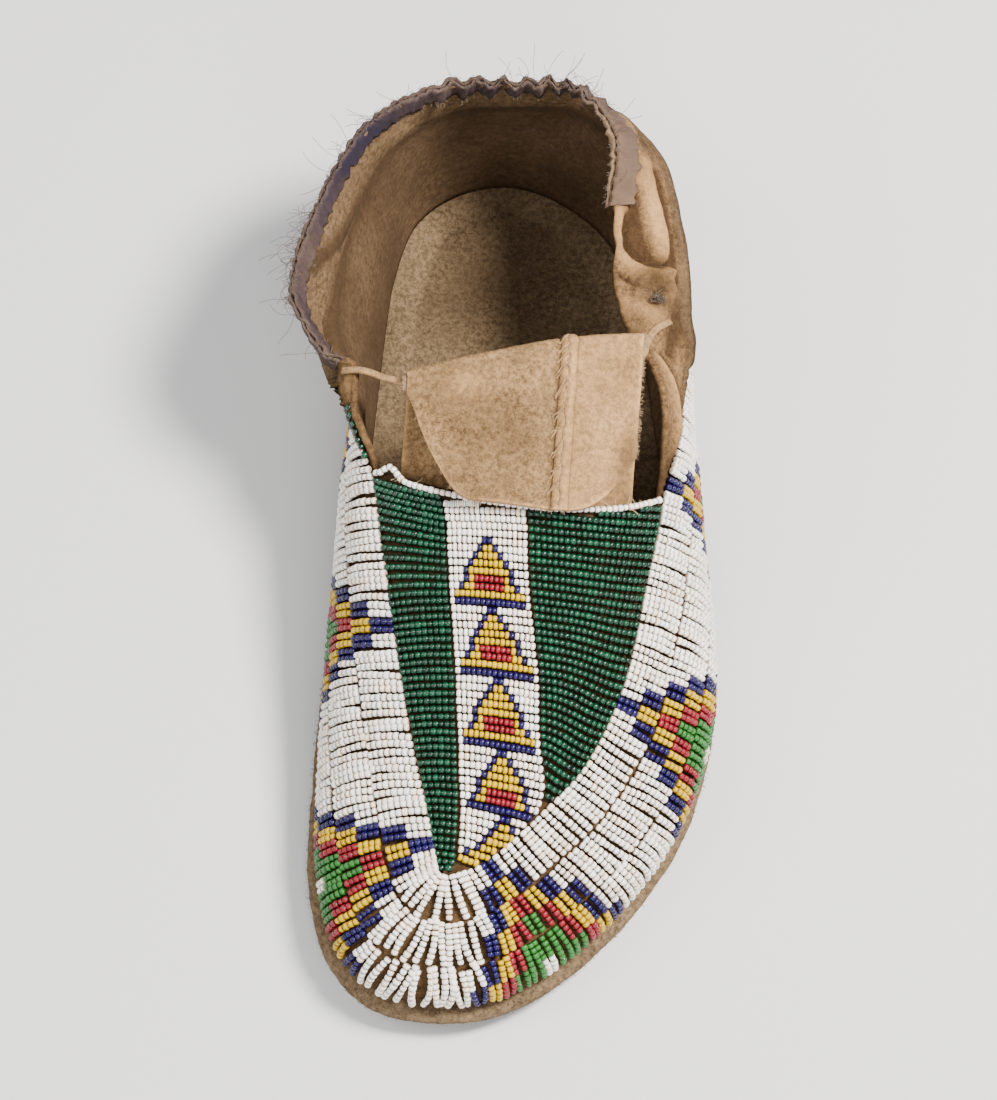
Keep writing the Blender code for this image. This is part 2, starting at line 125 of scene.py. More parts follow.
def soleLift(y):
    share = y / shoe["length"] + 0.5
    spring = shoe["toeSpring"] * (1 - ease(-0.04, 0.20, share)) / (1 - ease(-0.04, 0.20, 0.0))
    return spring + shoe["archRise"] * ease(0.46, 0.58, share) * (1 - ease(0.64, 0.76, share))


def outline(u):
    a, out = splineRow(soleRing, u % ring, True)
    return np.array((out * shoe["ballWidth"], (a - 0.5) * shoe["length"], 0.0))


def outward(u):
    d = outline(u + 0.05) - outline(u - 0.05)
    return unit(np.array((d[1], -d[0], 0.0)))


def solePoint(u, inset, height):
    p = outline(u) - outward(u) * inset
    p[2] = soleLift(p[1]) + height
    return p


def wallHandles(u):
    a, out, up, belly, hold, drop = splineRow(wallRing, u % ring, True)
    foot = solePoint(u, shoe["seamInset"], shoe["soleThickness"] + shoe["soleCurl"] + 0.0003)
    top = np.array((out * shoe["ballWidth"], (a - 0.5) * shoe["length"], up * shoe["collarHeight"]))
    side = outward(u)
    low = foot + side * belly * shoe["ballWidth"] + np.array((0, 0, (top[2] - foot[2]) * 0.5))
    high = top + side * hold * shoe["ballWidth"] - np.array((0, 0, drop * shoe["collarHeight"]))
    return foot, low, high, top


def bezier(p0, p1, p2, p3, t):
    s = 1 - t
    return p0 * s ** 3 + p1 * 3 * s * s * t + p2 * 3 * s * t * t + p3 * t ** 3


def vampRow(row):
    _, _, highM, topM = wallHandles(ring - row)
    _, _, highL, topL = wallHandles(row)
    reach = np.linalg.norm(topL - topM) / 3
    dip = vampDip * min(row, throat) / throat + (throatDip - vampDip) * ease(throat - 2.0, throat, row)
    sink = np.array((0, -1, -vampSlope)) * dip * shoe["length"]
    return topM, topM + unit(topM - highM) * reach + sink, topL + unit(topL - highL) * reach + sink, topL


# the CAD stands with the middle of its footprint at the origin
soleLow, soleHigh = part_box("sole")
edgeLow = min(outline(i / 40)[0] for i in range(ring * 40))
shift = np.array((soleLow.x - edgeLow, (soleLow.y + soleHigh.y) / 2, 0.0))

# both surfaces as fine grids: the wall by ring station and share of its height,
# the vamp by row and share across
gridStep, gridShares = 0.05, 40
wallCount, vampCount = round(ring / gridStep), round(throat / gridStep)
wallGrid = np.zeros((wallCount, gridShares + 1, 3))
wallReach = np.zeros(wallCount)
for i in range(wallCount):
    line = bezier(*wallHandles(i * gridStep), np.linspace(0, 1, 81)[:, None])
    arc = lengthAlong(line)
    wallReach[i] = arc[-1]
    for c in range(3):
        wallGrid[i, :, c] = np.interp(np.linspace(0, arc[-1], gridShares + 1), arc, line[:, c]) + shift[c]
around = np.roll(wallGrid, -1, 0) - np.roll(wallGrid, 1, 0)
wallNormals = unit(np.cross(around, np.gradient(wallGrid, axis=1)))

vampGrid = np.zeros((vampCount + 1, gridShares + 1, 3))
sharesAcross = np.linspace(0, 1, gridShares + 1)[:, None]
for i in range(vampCount + 1):
    vampGrid[i] = bezier(*vampRow(max(i * gridStep, 0.01)), sharesAcross) + shift
vampNormals = unit(np.cross(np.gradient(vampGrid, axis=1), np.gradient(vampGrid, axis=0)))
print("surfaces ready, shift", [round(float(c) * 1000, 2) for c in shift])


def lookUp(grid, row, column, closed):
    rows, columns = grid.shape[0], grid.shape[1] - 1
    i = np.floor(row).astype(int)
    if not closed:
        i = np.clip(i, 0, rows - 2)
    j = np.clip(np.floor(column).astype(int), 0, columns - 1)
    f, g = (row - i)[..., None], (column - j)[..., None]
    low = grid[i % rows, j] * (1 - g) + grid[i % rows, j + 1] * g
    high = grid[(i + 1) % rows, j] * (1 - g) + grid[(i + 1) % rows, j + 1] * g
    return low * (1 - f) + high * f


def ringValue(values, u):
    at = np.asarray(u) % ring / gridStep
    i = np.floor(at).astype(int)
    return values[i % wallCount] * (1 - at + i) + values[(i + 1) % wallCount] * (at - i)


def onWall(u, distance):
    # points and normals at a distance up the wall; past the edge it runs straight on
    u, distance = np.broadcast_arrays(np.asarray(u, float), np.asarray(distance, float))
    at, column = u % ring / gridStep, distance / ringValue(wallReach, u) * gridShares
    normals = unit(lookUp(wallNormals, at, np.minimum(column, gridShares), True))
    return lookUp(wallGrid, at, column, True), normals


# the old hide has sagged outwards beside the throat: station and millimetres
sag = ((16.6, 0.0), (17.3, 1.2), (18.0, 3.2), (18.4, 3.8), (18.7, 2.8), (18.95, 0.6), (19.1, 0.0))
sagStart, sagFull = -0.007, 0.006  # metres above the band's top


def softWall(u, d):
    points, normals = onWall(u, d)
    out = np.interp(np.asarray(u, float) % ring, *zip(*sag)) / 1000
    out = out * ease(sagStart, sagFull, np.asarray(d) - bandTop(u))
    return points + normals * np.asarray(out)[..., None], normals


def onVamp(row, t):
    row, t = np.broadcast_arrays(np.asarray(row, float), np.asarray(t, float))
    at, column = row / gridStep, t * gridShares
    return lookUp(vampGrid, at, column, False), unit(lookUp(vampNormals, at, column, False))


stationU = np.arange(wallCount) * gridStep
behindThroat = ease(throat - 0.2, throat + 0.8, np.minimum(stationU, ring - stationU))
bandTops = wallReach + (np.minimum(shoe["bandWidth"], wallReach) - wallReach) * behindThroat


def bandTop(u):
    return ringValue(bandTops, u)


def meshPiece(name, points, faces, material):
    mesh = bpy.data.meshes.new(name)
    mesh.from_pydata([tuple(map(float, p)) for p in points], [], faces)
    mesh.update()
    if faces:
        mesh.shade_smooth()
    piece = bpy.data.objects.new(name, mesh)
    bpy.context.scene.collection.objects.link(piece)
    mesh.materials.append(material)
    return piece


def sheetFaces(rows, columns, closed=False):
    faces = []
    for i in range(rows if closed else rows - 1):
        k = (i + 1) % rows
        for j in range(columns - 1):
            faces.append((i * columns + j, k * columns + j, k * columns + j + 1, i * columns + j + 1))
    return faces


def tubeFaces(rings, count):
    # closed all round and capped at both ends
    faces = []
    for i in range(rings - 1):
        for k in range(count):
            a, b = i * count + k, i * count + (k + 1) % count
            faces.append((a, b, b + count, a + count))
    return faces + [tuple(range(count))[::-1], tuple(range((rings - 1) * count, rings * count))]


def settle(piece):
    # what the modifiers make becomes the piece's own plain mesh
    bpy.context.view_layer.update()
    graph = bpy.context.evaluated_depsgraph_get()
    mesh = bpy.data.meshes.new_from_object(piece.evaluated_get(graph))
    old = piece.data
    piece.modifiers.clear()
    piece.data = mesh
    bpy.data.meshes.remove(old)
    mesh.name = piece.name


def dress(piece, slotName, *nodes):
    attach(piece, "root")
    if nodes:
        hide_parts(*nodes)


def paint(piece, name, values):
    layer = piece.data.attributes.new(name, "FLOAT", "POINT")
    layer.data.foreach_set("value", np.asarray(values, np.float32).ravel())


def ripple(p, size, seed=0.0):
    # smooth noise from -1 to 1, its lumps about size across
    return noise.noise(Vector(p) / size + Vector((seed, seed * 1.7, -seed)))


def wire(tree, kind, inputs=None, **settings):
    made = tree.nodes.new(kind)
    for key, value in settings.items():
        setattr(made, key, value)
    for key, value in (inputs or {}).items():
        if isinstance(value, bpy.types.NodeSocket):
            tree.links.new(value, made.inputs[key])
        else:
            made.inputs[key].default_value = value
    return made


def maths(tree, operation, a, b=0.5, clamp=False):
    return wire(tree, "ShaderNodeMath", {0: a, 1: b}, operation=operation, use_clamp=clamp).outputs[0]


def mixColour(tree, factor, a, b, blend="MIX"):
    mixed = wire(tree, "ShaderNodeMix", {0: factor, 6: a, 7: b}, data_type="RGBA", blend_type=blend)
    return mixed.outputs[2]


def remap(tree, value, low, high, outLow=0.0, outHigh=1.0):
    return wire(tree, "ShaderNodeMapRange", {0: value, 1: low, 2: high, 3: outLow, 4: outHigh}).outputs[0]


def speckle(tree, where, scale, detail=3.0, roughness=0.6, distortion=0.0):
    inputs = {"Vector": where, "Scale": scale, "Detail": detail, "Roughness": roughness,
              "Distortion": distortion}
    return wire(tree, "ShaderNodeTexNoise", inputs).outputs["Fac"]


def rgb(r, g, b):
    return (r, g, b, 1.0)


def newGroup(name, inputs, outputs):
    group = bpy.data.node_groups.new(name, "ShaderNodeTree")
    for label, value in inputs.items():
        kind = "NodeSocketVector" if value is None else "NodeSocketFloat"
        socket = group.interface.new_socket(label, in_out="INPUT", socket_type=kind)
        if value is not None:
            socket.default_value = value
    for label in outputs:
        group.interface.new_socket(label, in_out="OUTPUT", socket_type="NodeSocketFloat")
    return group, group.nodes.new("NodeGroupInput").outputs, group.nodes.new("NodeGroupOutput").inputs


def useGroup(tree, group, inputs):
    return wire(tree, "ShaderNodeGroup", inputs, node_tree=group).outputs


def newMaterial(name, roughness, **constants):
    material = bpy.data.materials.new(name)
    material.use_nodes = True
    tree = material.node_tree
    shader = tree.nodes["Principled BSDF"]
    shader.inputs["Roughness"].default_value = roughness
    for key, value in constants.items():
        shader.inputs[key.replace("_", " ")].default_value = value
    return material, tree, shader.inputs, tree.nodes.new("ShaderNodeTexCoord").outputs["Object"]


def attribute(tree, name, output="Fac"):
    return wire(tree, "ShaderNodeAttribute", attribute_name=name).outputs[output]


def bump(tree, height, strength, distance, under=None):
    inputs = {"Height": height, "Strength": strength, "Distance": distance}
    if under:
        inputs["Normal"] = under
    return wire(tree, "ShaderNodeBump", inputs).outputs["Normal"]


# the brushed nap of hide: fine fibres, and flecks of lighter and darker hair
napGrain, given, out = newGroup("napGrain", {"Vector": None, "Fibre scale": 1500.0, "Fleck scale": 420.0,
                                             "Contrast": 1.0}, ("Height", "Fleck"))
fibres = speckle(napGrain, given["Vector"], given["Fibre scale"], 5.0, 0.78, 2.2)
flecks = speckle(napGrain, given["Vector"], given["Fleck scale"], 6.0, 0.80, 0.0)
napGrain.links.new(maths(napGrain, "MULTIPLY", fibres, 0.7), out["Height"])
blended = maths(napGrain, "ADD", maths(napGrain, "MULTIPLY", flecks, 0.55),
                maths(napGrain, "MULTIPLY", fibres, 0.45))
strong = maths(napGrain, "MULTIPLY", maths(napGrain, "SUBTRACT", blended, 0.5), given["Contrast"])
napGrain.links.new(maths(napGrain, "ADD", strong, 0.5, True), out["Fleck"])

# handling dirt in cloudy patches; More adds the piece's own map of dirt and painted shade
grimeAndShade, given, out = newGroup("grimeAndShade", {"Vector": None, "Patch scale": 45.0, "Amount": 0.4, "More": 0.0},
                             ("Factor",))
clouds = speckle(grimeAndShade, given["Vector"], given["Patch scale"], 3.0, 0.5)
smears = speckle(grimeAndShade, given["Vector"], maths(grimeAndShade, "MULTIPLY", given["Patch scale"], 7.0), 5.0, 0.8)
cloudy = maths(grimeAndShade, "ADD", maths(grimeAndShade, "MULTIPLY", clouds, 0.7), maths(grimeAndShade, "MULTIPLY", smears, 0.3))
patches = remap(grimeAndShade, cloudy, 0.36, 0.78)
grimeAndShade.links.new(maths(grimeAndShade, "ADD", maths(grimeAndShade, "MULTIPLY", patches, given["Amount"]), given["More"], True),
                out["Factor"])

# plain weave: over and under threads along a piece's own UV map
weave, given, out = newGroup("weave", {"Vector": None, "Threads": 1.0}, ("Height",))
apart = wire(weave, "ShaderNodeSeparateXYZ", {0: given["Vector"]}).outputs
across = maths(weave, "MULTIPLY", apart[0], given["Threads"])
down = maths(weave, "MULTIPLY", apart[1], given["Threads"])
warp = maths(weave, "ABSOLUTE", maths(weave, "SINE", maths(weave, "MULTIPLY", across, math.pi)))
weft = maths(weave, "ABSOLUTE", maths(weave, "SINE", maths(weave, "MULTIPLY", down, math.pi)))
turn = maths(weave, "SINE", maths(weave, "MULTIPLY", maths(weave, "ADD", across, down), math.pi))
over = remap(weave, turn, -0.4, 0.4)
weave.links.new(maths(weave, "ADD", maths(weave, "MULTIPLY", warp, over),
                      maths(weave, "MULTIPLY", weft, maths(weave, "SUBTRACT", 1.0, over))), out["Height"])


def hideMaterial(name, base, light, dark, patchScale=45.0, dirt=0.45, grain=1.0):
    material, tree, shader, where = newMaterial(name, 0.95, Specular_IOR_Level=0.12)
    nap = useGroup(tree, napGrain, {"Vector": where, "Fibre scale": 1900.0, "Fleck scale": 700.0,
                                    "Contrast": 9.0})
    dirtAndShade = useGroup(tree, grimeAndShade, {"Vector": where, "Patch scale": patchScale, "Amount": dirt,
                                   "More": attribute(tree, "soilAndShade")})
    tone = mixColour(tree, nap["Fleck"], dark, light)
    tone = mixColour(tree, 0.28, tone, base)
    cloudy = remap(tree, speckle(tree, where, 110.0, 3.0, 0.55), 0.30, 0.75)
    tone = mixColour(tree, maths(tree, "MULTIPLY", cloudy, 0.3), tone, light)
    pale = rgb(light[0] * 1.65, light[1] * 1.52, light[2] * 1.30)  # nap rubbed bright at worn edges, and painted highlight on the ridges
    flecked = mixColour(tree, nap["Fleck"], light, pale)
    # lighter where the piece's map gives wear and painted highlight, darker with dirt and painted shade
    wornAndLit = mixColour(tree, attribute(tree, "wearAndHighlight"), tone, flecked)
    soiledAndShaded = mixColour(tree, dirtAndShade["Factor"], wornAndLit, mixColour(tree, 0.16, dark, wornAndLit))
    tree.links.new(soiledAndShaded, shader["Base Color"])
    broad = speckle(tree, where, 260.0, 4.0, 0.6)
    lumps = bump(tree, broad, 0.45 * grain, 0.0008)
    tree.links.new(bump(tree, nap["Height"], 0.7 * grain, 0.00045, lumps), shader["Normal"])
    return material


# base, light and dark of each hide
hideTan = hideMaterial(
    "hideTan", rgb(0.095, 0.050, 0.021), rgb(0.335, 0.195, 0.086), rgb(0.028, 0.0135, 0.0055), dirt=0.75)
hideInside = hideMaterial(
    "hideInside", rgb(0.13, 0.076, 0.036), rgb(0.25, 0.155, 0.080), rgb(0.036, 0.020, 0.009), dirt=0.6)
hideTongue = hideMaterial(
    "hideTongue", rgb(0.170, 0.096, 0.042), rgb(0.43, 0.255, 0.112), rgb(0.046, 0.026, 0.011),
    patchScale=75.0, dirt=0.62, grain=1.15)
rawhide = hideMaterial(
    "rawhideFuzz", rgb(0.125, 0.078, 0.040), rgb(0.33, 0.225, 0.125), rgb(0.040, 0.024, 0.011),
    patchScale=80.0, dirt=0.4, grain=1.5)
strapHide = hideMaterial(
    "strapHide", rgb(0.27, 0.150, 0.066), rgb(0.42, 0.26, 0.13), rgb(0.085, 0.046, 0.020), dirt=0.3)

# glass seed beads: the colour comes with each bead; its ends, where the beads meet, and the side by the hide
# are darkened with painted shade and dirt
beadGlass, tree, shader, where = newMaterial("beadGlass", 0.30, Specular_IOR_Level=0.32, Coat_Weight=0.10,
                                             Coat_Roughness=0.1)
tint = attribute(tree, "tint", "Color")
# painted shade at the ends and on the side by the hide, in a dirty brown
ends = remap(tree, maths(tree, "ABSOLUTE", attribute(tree, "axial")), 0.55, 1.0)
low = remap(tree, attribute(tree, "rise"), 0.15, -0.75)
shade = maths(tree, "MAXIMUM", maths(tree, "MULTIPLY", ends, 0.85), maths(tree, "MULTIPLY", low, 0.95), True)
soiledAndShaded = mixColour(tree, shade, tint, mixColour(tree, 1.0, tint, rgb(0.26, 0.18, 0.11), "MULTIPLY"))
tree.links.new(soiledAndShaded, shader["Base Color"])
grease = speckle(tree, where, 700.0, 3.0)
tree.links.new(remap(tree, grease, 0.3, 0.75, 0.16, 0.40), shader["Roughness"])

# dark transparent green glass: deep colour, sharp lights; the side by the hide painted dark as shade, the
# top painted in full colour as lit glass
darkGlass, tree, shader, where = newMaterial("darkGreenGlass", 0.12, Specular_IOR_Level=0.34,
                                             Coat_Weight=0.25, Coat_Roughness=0.04)
tint = attribute(tree, "tint", "Color")
# painted light: full colour towards each bead's top, painted shade towards the hide
glow = remap(tree, attribute(tree, "rise"), 0.2, 0.95)
lit = mixColour(tree, glow, mixColour(tree, 1.0, tint, rgb(0.25, 0.30, 0.30), "MULTIPLY"), tint)
tree.links.new(lit, shader["Base Color"])
tree.links.new(remap(tree, speckle(tree, where, 900.0, 3.0), 0.3, 0.75, 0.10, 0.32), shader["Roughness"])

# old cotton strip, faded from blue-violet to tan along its length
bindingCloth, tree, shader, where = newMaterial("bindingCloth", 0.95, Specular_IOR_Level=0.10)
uv = wire(tree, "ShaderNodeUVMap", uv_map="UVMap").outputs[0]
woven = useGroup(tree, weave, {"Vector": uv, "Threads": 2200.0})
mottle = maths(tree, "SUBTRACT", speckle(tree, where, 160.0, 5.0, 0.7), 0.5)
faded = maths(tree, "ADD", attribute(tree, "faded"), maths(tree, "MULTIPLY", mottle, 1.3), True)
cloth = mixColour(tree, faded, rgb(0.024, 0.019, 0.042), rgb(0.120, 0.078, 0.058))
dusty = maths(tree, "MULTIPLY", speckle(tree, where, 900.0, 3.0), 0.7)
cloth = mixColour(tree, dusty, cloth, rgb(0.026, 0.018, 0.016))
cloth = mixColour(tree, attribute(tree, "wearAndHighlight"), cloth, rgb(0.20, 0.125, 0.072))
# darker with dust, and with painted shade in the groove along the top
cloth = mixColour(tree, attribute(tree, "soilAndShade"), cloth, rgb(0.014, 0.010, 0.010))
tree.links.new(cloth, shader["Base Color"])
clothThreads = bump(tree, woven["Height"], 0.35, 0.0002)
tree.links.new(bump(tree, speckle(tree, where, 500.0, 4.0), 0.4, 0.0005, clothThreads), shader["Normal"])


def threadMaterial(name, roughness, scale, dark, light):
    material, tree, shader, where = newMaterial(name, roughness)
    tree.links.new(mixColour(tree, speckle(tree, where, scale, 3.0), dark, light), shader["Base Color"])
    return material


sinew = threadMaterial("sinew", 0.6, 500.0, rgb(0.20, 0.125, 0.065), rgb(0.52, 0.37, 0.22))
fray = threadMaterial("frayedThread", 0.9, 120.0, rgb(0.040, 0.032, 0.042), rgb(0.17, 0.125, 0.085))
rawhideHair = threadMaterial("rawhideHair", 0.9, 300.0, rgb(0.07, 0.045, 0.022), rgb(0.34, 0.24, 0.14))

floorPaint, tree, shader, where = newMaterial("paleFloor", 0.85)
shader["Base Color"].default_value = rgb(0.56, 0.555, 0.545)
print("materials ready")

# seed beads as the stringing has them: metres, and shares of a bead
beadSizes = {
    "length": 0.00148,
    "width": 0.00193,
    "greenWidth": 0.00186,
    "endShare": 0.62,
    "unevenness": 0.13,
    "seat": 0.00118,  # a bead's middle over the hide
    "hump": 0.00045,  # how far a lane's strings stand up in the middle
    "lanePitch": 0.00204,
    "rowPitch": 0.00196,
    "laneBeads": 8,
}


def newNodesTree(name, inputs):
    tree = bpy.data.node_groups.new(name, "GeometryNodeTree")
    for label, kind in (("Geometry", "Geometry"), *inputs, ("Finish", "Material")):
        tree.interface.new_socket(label, in_out="INPUT", socket_type="NodeSocket" + kind)
    tree.interface.new_socket("Geometry", in_out="OUTPUT", socket_type="NodeSocketGeometry")
    return tree, tree.nodes.new("NodeGroupInput").outputs, tree.nodes.new("NodeGroupOutput").inputs


def finishTree(tree, geometry, given, out):
    # real, smooth and in the finish that the piece names
    solid = wire(tree, "GeometryNodeRealizeInstances", {0: geometry}).outputs[0]
    smooth = wire(tree, "GeometryNodeSetShadeSmooth", {"Geometry": solid, "Shade Smooth": True}).outputs[0]
    finished = wire(tree, "GeometryNodeSetMaterial", {"Geometry": smooth, "Material": given["Finish"]})
    tree.links.new(finished.outputs[0], out[0])
    return tree


def beadStringsTree():
    # a bead on every point, threaded along the point's own direction
    tree, given, out = newNodesTree("beadStrings", (
        ("Bead length", "Float"), ("Bead width", "Float"), ("End share", "Float"), ("Unevenness", "Float"),
        ("Seed", "Int")))
    barrel = wire(tree, "GeometryNodeMeshCylinder", {"Vertices": 8, "Side Segments": 3, "Radius": 0.5,
                                                     "Depth": 1.0})
    position = tree.nodes.new("GeometryNodeInputPosition").outputs[0]
    here = wire(tree, "ShaderNodeSeparateXYZ", {0: position}).outputs
    double = maths(tree, "MULTIPLY", here["Z"], 2.0)
    spread = maths(tree, "POWER", maths(tree, "ABSOLUTE", double), 0.55)
    axial = maths(tree, "MULTIPLY", spread, maths(tree, "SIGN", double))
    endLoss = maths(tree, "SUBTRACT", 1.0, given["End share"])
    narrow = maths(tree, "MULTIPLY", maths(tree, "POWER", spread, 3.0), endLoss)
    girth = maths(tree, "SUBTRACT", 1.0, narrow)
    place = wire(tree, "ShaderNodeCombineXYZ", {0: maths(tree, "MULTIPLY", here["X"], girth),
                                                1: maths(tree, "MULTIPLY", here["Y"], girth),
                                                2: maths(tree, "MULTIPLY", axial, 0.5)}).outputs[0]
    noted = barrel.outputs["Mesh"]
    for label, value in (("rise", maths(tree, "MULTIPLY", here["X"], 2.0)), ("axial", axial)):
        noted = wire(tree, "GeometryNodeStoreNamedAttribute",
                     {"Geometry": noted, "Name": label, "Value": value},
                     data_type="FLOAT", domain="POINT").outputs[0]
    bead = wire(tree, "GeometryNodeSetPosition", {"Geometry": noted, "Position": place}).outputs[0]

    def read(label, kind):
        named = wire(tree, "GeometryNodeInputNamedAttribute", {"Name": label}, data_type=kind)
        return named.outputs["Attribute"]

    turn = wire(tree, "FunctionNodeAxesToRotation",
                {0: read("along", "FLOAT_VECTOR"), 1: read("up", "FLOAT_VECTOR")},
                primary_axis="Z", secondary_axis="X").outputs[0]
    low = maths(tree, "SUBTRACT", 1.0, given["Unevenness"])
    high = maths(tree, "ADD", 1.0, given["Unevenness"])
    chance = wire(tree, "FunctionNodeRandomValue", {0: low, 1: high, "Seed": given["Seed"]},
                  data_type="FLOAT_VECTOR")
    sizes = wire(tree, "ShaderNodeSeparateXYZ", {0: chance.outputs[0]}).outputs
    girth = maths(tree, "MULTIPLY", given["Bead width"], sizes[0])
    asStrung = maths(tree, "MULTIPLY", given["Bead length"], read("size", "FLOAT"))
    run = maths(tree, "MULTIPLY", asStrung, sizes[2])
    scale = wire(tree, "ShaderNodeCombineXYZ", {0: girth, 1: girth, 2: run}).outputs[0]
    strung = wire(tree, "GeometryNodeInstanceOnPoints", {"Points": given["Geometry"], "Instance": bead,
                                                         "Rotation": turn, "Scale": scale}).outputs[0]
    return finishTree(tree, strung, given, out)


beadStrings = beadStringsTree()


def modifierInputs(modifier, values):
    for item in modifier.node_group.interface.items_tree:
        if item.item_type == "SOCKET" and item.in_out == "INPUT" and item.name in values:
            modifier[item.identifier] = values[item.name]


def beadPiece(name, beads, width, finish, seed):
    piece = meshPiece(name, beads["at"], [], finish)
    for label in ("along", "up"):
        layer = piece.data.attributes.new(label, "FLOAT_VECTOR", "POINT")
        layer.data.foreach_set("vector", np.asarray(beads[label], np.float32).ravel())
    layer = piece.data.attributes.new("tint", "FLOAT_COLOR", "POINT")
    layer.data.foreach_set("color", np.asarray(beads["tint"], np.float32).ravel())
    paint(piece, "size", beads["size"])
    modifier = piece.modifiers.new("beads", "NODES")
    modifier.node_group = beadStrings
    modifierInputs(modifier, {"Bead length": beadSizes["length"], "Bead width": width,
                              "End share": beadSizes["endShare"], "Unevenness": beadSizes["unevenness"],
                              "Seed": seed, "Finish": finish})
    settle(piece)
    print(name, len(beads["at"]), "beads")
    return piece


def threadsTree():
    # a round thread along every run of edges
    tree, given, out = newNodesTree("threads", (("Thickness", "Float"), ("Sides", "Int")))
    runs = wire(tree, "GeometryNodeMeshToCurve", {"Mesh": given["Geometry"]}).outputs[0]
    radius = maths(tree, "MULTIPLY", given["Thickness"], 0.5)
    section = wire(tree, "GeometryNodeCurvePrimitiveCircle",
                   {"Resolution": given["Sides"], "Radius": radius})
    tubes = wire(tree, "GeometryNodeCurveToMesh", {"Curve": runs, "Profile Curve": section.outputs[0],
                                                   "Fill Caps": True}).outputs[0]
    return finishTree(tree, tubes, given, out)


threads = threadsTree()


def threadPiece(name, runs, thickness, finish, slotName, sides=4):
    points, edges = [], []
    for run in runs:
        edges += [(len(points) + i, len(points) + i + 1) for i in range(len(run) - 1)]
        points += [tuple(p) for p in run]
    mesh = bpy.data.meshes.new(name)
    mesh.from_pydata(points, edges, [])
    piece = bpy.data.objects.new(name, mesh)
    bpy.context.scene.collection.objects.link(piece)
    piece.data.materials.append(finish)
    modifier = piece.modifiers.new("threads", "NODES")
    modifier.node_group = threads
    modifierInputs(modifier, {"Thickness": thickness, "Sides": sides, "Finish": finish})
    settle(piece)
    dress(piece, slotName)
    print(name, len(runs), "threads")


def looseRun(start, toward, length, dice, curl=0.5, steps=6):
    # a stray thread: it sets off one way and wanders
    run, heading = [np.array(start)], unit(np.array(toward, float))
    drift = np.array([dice.uniform(-1, 1) for _ in range(3)])
    for _ in range(steps):
        drift = drift * 0.7 + np.array([dice.uniform(-1, 1) for _ in range(3)]) * 0.5
        heading = unit(heading + drift * curl)
        run.append(run[-1] + heading * length / steps)
    return run


def surfaceOf(piece):
    data = piece.data
    corners = [tuple(face.vertices) for face in data.polygons]
    return BVHTree.FromPolygons([v.co for v in data.vertices], corners)


def layOn(surface, points, normals, lift, reach=0.012):
    # the points dropped on to a made surface from outside, and stood off it by lift
    laid = []
    for p, n in zip(points, normals):
        hit = surface.ray_cast(Vector(p + n * reach), Vector(-n), reach * 2)
        laid.append((np.array(hit[0]) if hit[0] is not None else p) + n * lift)
    return laid


# each letter of a chart is one bead
beadColours = {
    "w": (0.88, 0.848, 0.775),
    "y": (0.53, 0.335, 0.0008),
    "r": (0.205, 0.007, 0.014),
    "b": (0.0065, 0.0022, 0.055),
    "g": (0.020, 0.135, 0.017),
    "d": (0.0010, 0.035, 0.0135),  # dark clear green
    "l": (0.40, 0.42, 0.04),  # yellow-green
}
soiledWhite = (0.56, 0.40, 0.26)


def beadTint(letter, p, dice):
    tint = np.array(beadColours[letter])
    if letter == "w":  # old white beads: some creamy, some pinkish, some bluish, and soiled in patches
        chance = dice.random()
        if chance < 0.16:
            tint = tint * (1.02, 0.90, 0.80)
        elif chance < 0.30:
            tint = tint * (1.02, 0.93, 0.92)
        elif chance < 0.42:
            tint = tint * (0.93, 0.97, 1.03)
        dirt = ease(0.10, 0.65, ripple(p, 0.016, 3.0)) * 0.55 * dice.random()
        tint = tint * (1 - dirt) + np.array(soiledWhite) * dirt
    if letter == "d":  # clear glass: some beads catch far more light than others
        tint = tint * dice.choice((0.55, 0.7, 0.85, 1.0, 1.15, 1.45))
    return (*(tint * dice.uniform(0.86, 1.06)), 1.0)


def emptyBeads():
    return {"at": [], "along": [], "up": [], "tint": [], "size": []}


def stringUp(beads, points, normals, letters, lift, dice, spacing=None):
    # one string: beads at the points, each threaded along the run of its neighbours
    middle = np.asarray(points) + np.asarray(normals) * np.asarray(lift)[:, None]
    run = np.gradient(middle, axis=0) if len(middle) > 1 else np.array([[1.0, 0.0, 0.0]])
    gaps = np.linalg.norm(run, axis=1)
    for i, letter in enumerate(letters):
        beads["at"].append(middle[i])
        beads["along"].append(run[i] / max(gaps[i], 1e-9))
        beads["up"].append(normals[i])
        beads["tint"].append(beadTint(letter, middle[i], dice))
        beads["size"].append((spacing or gaps[i]) / beadSizes["length"] * 0.985)


# the stepped triangles of the band: ring station of each one's middle
lanePattern = {
    "centres": (2.0, 4.7, 7.15, 9.3, 16.0, 18.3, 20.4, 23.5),
    "steps": 5,
    "stringsPerStep": 2,
    "beadsPerStep": 4,
}


def laneLetter(bead, string, middles):
    level = bead // lanePattern["beadsPerStep"]
    for middle in middles:
        k = abs(math.floor((string - middle + 1) / lanePattern["stringsPerStep"]))
        if k > lanePattern["steps"] or level < k:
            continue
        if k == 0 and level == lanePattern["steps"]:
            return "w"
        return "byrg"[min(level - k, 3)]
    return "w"


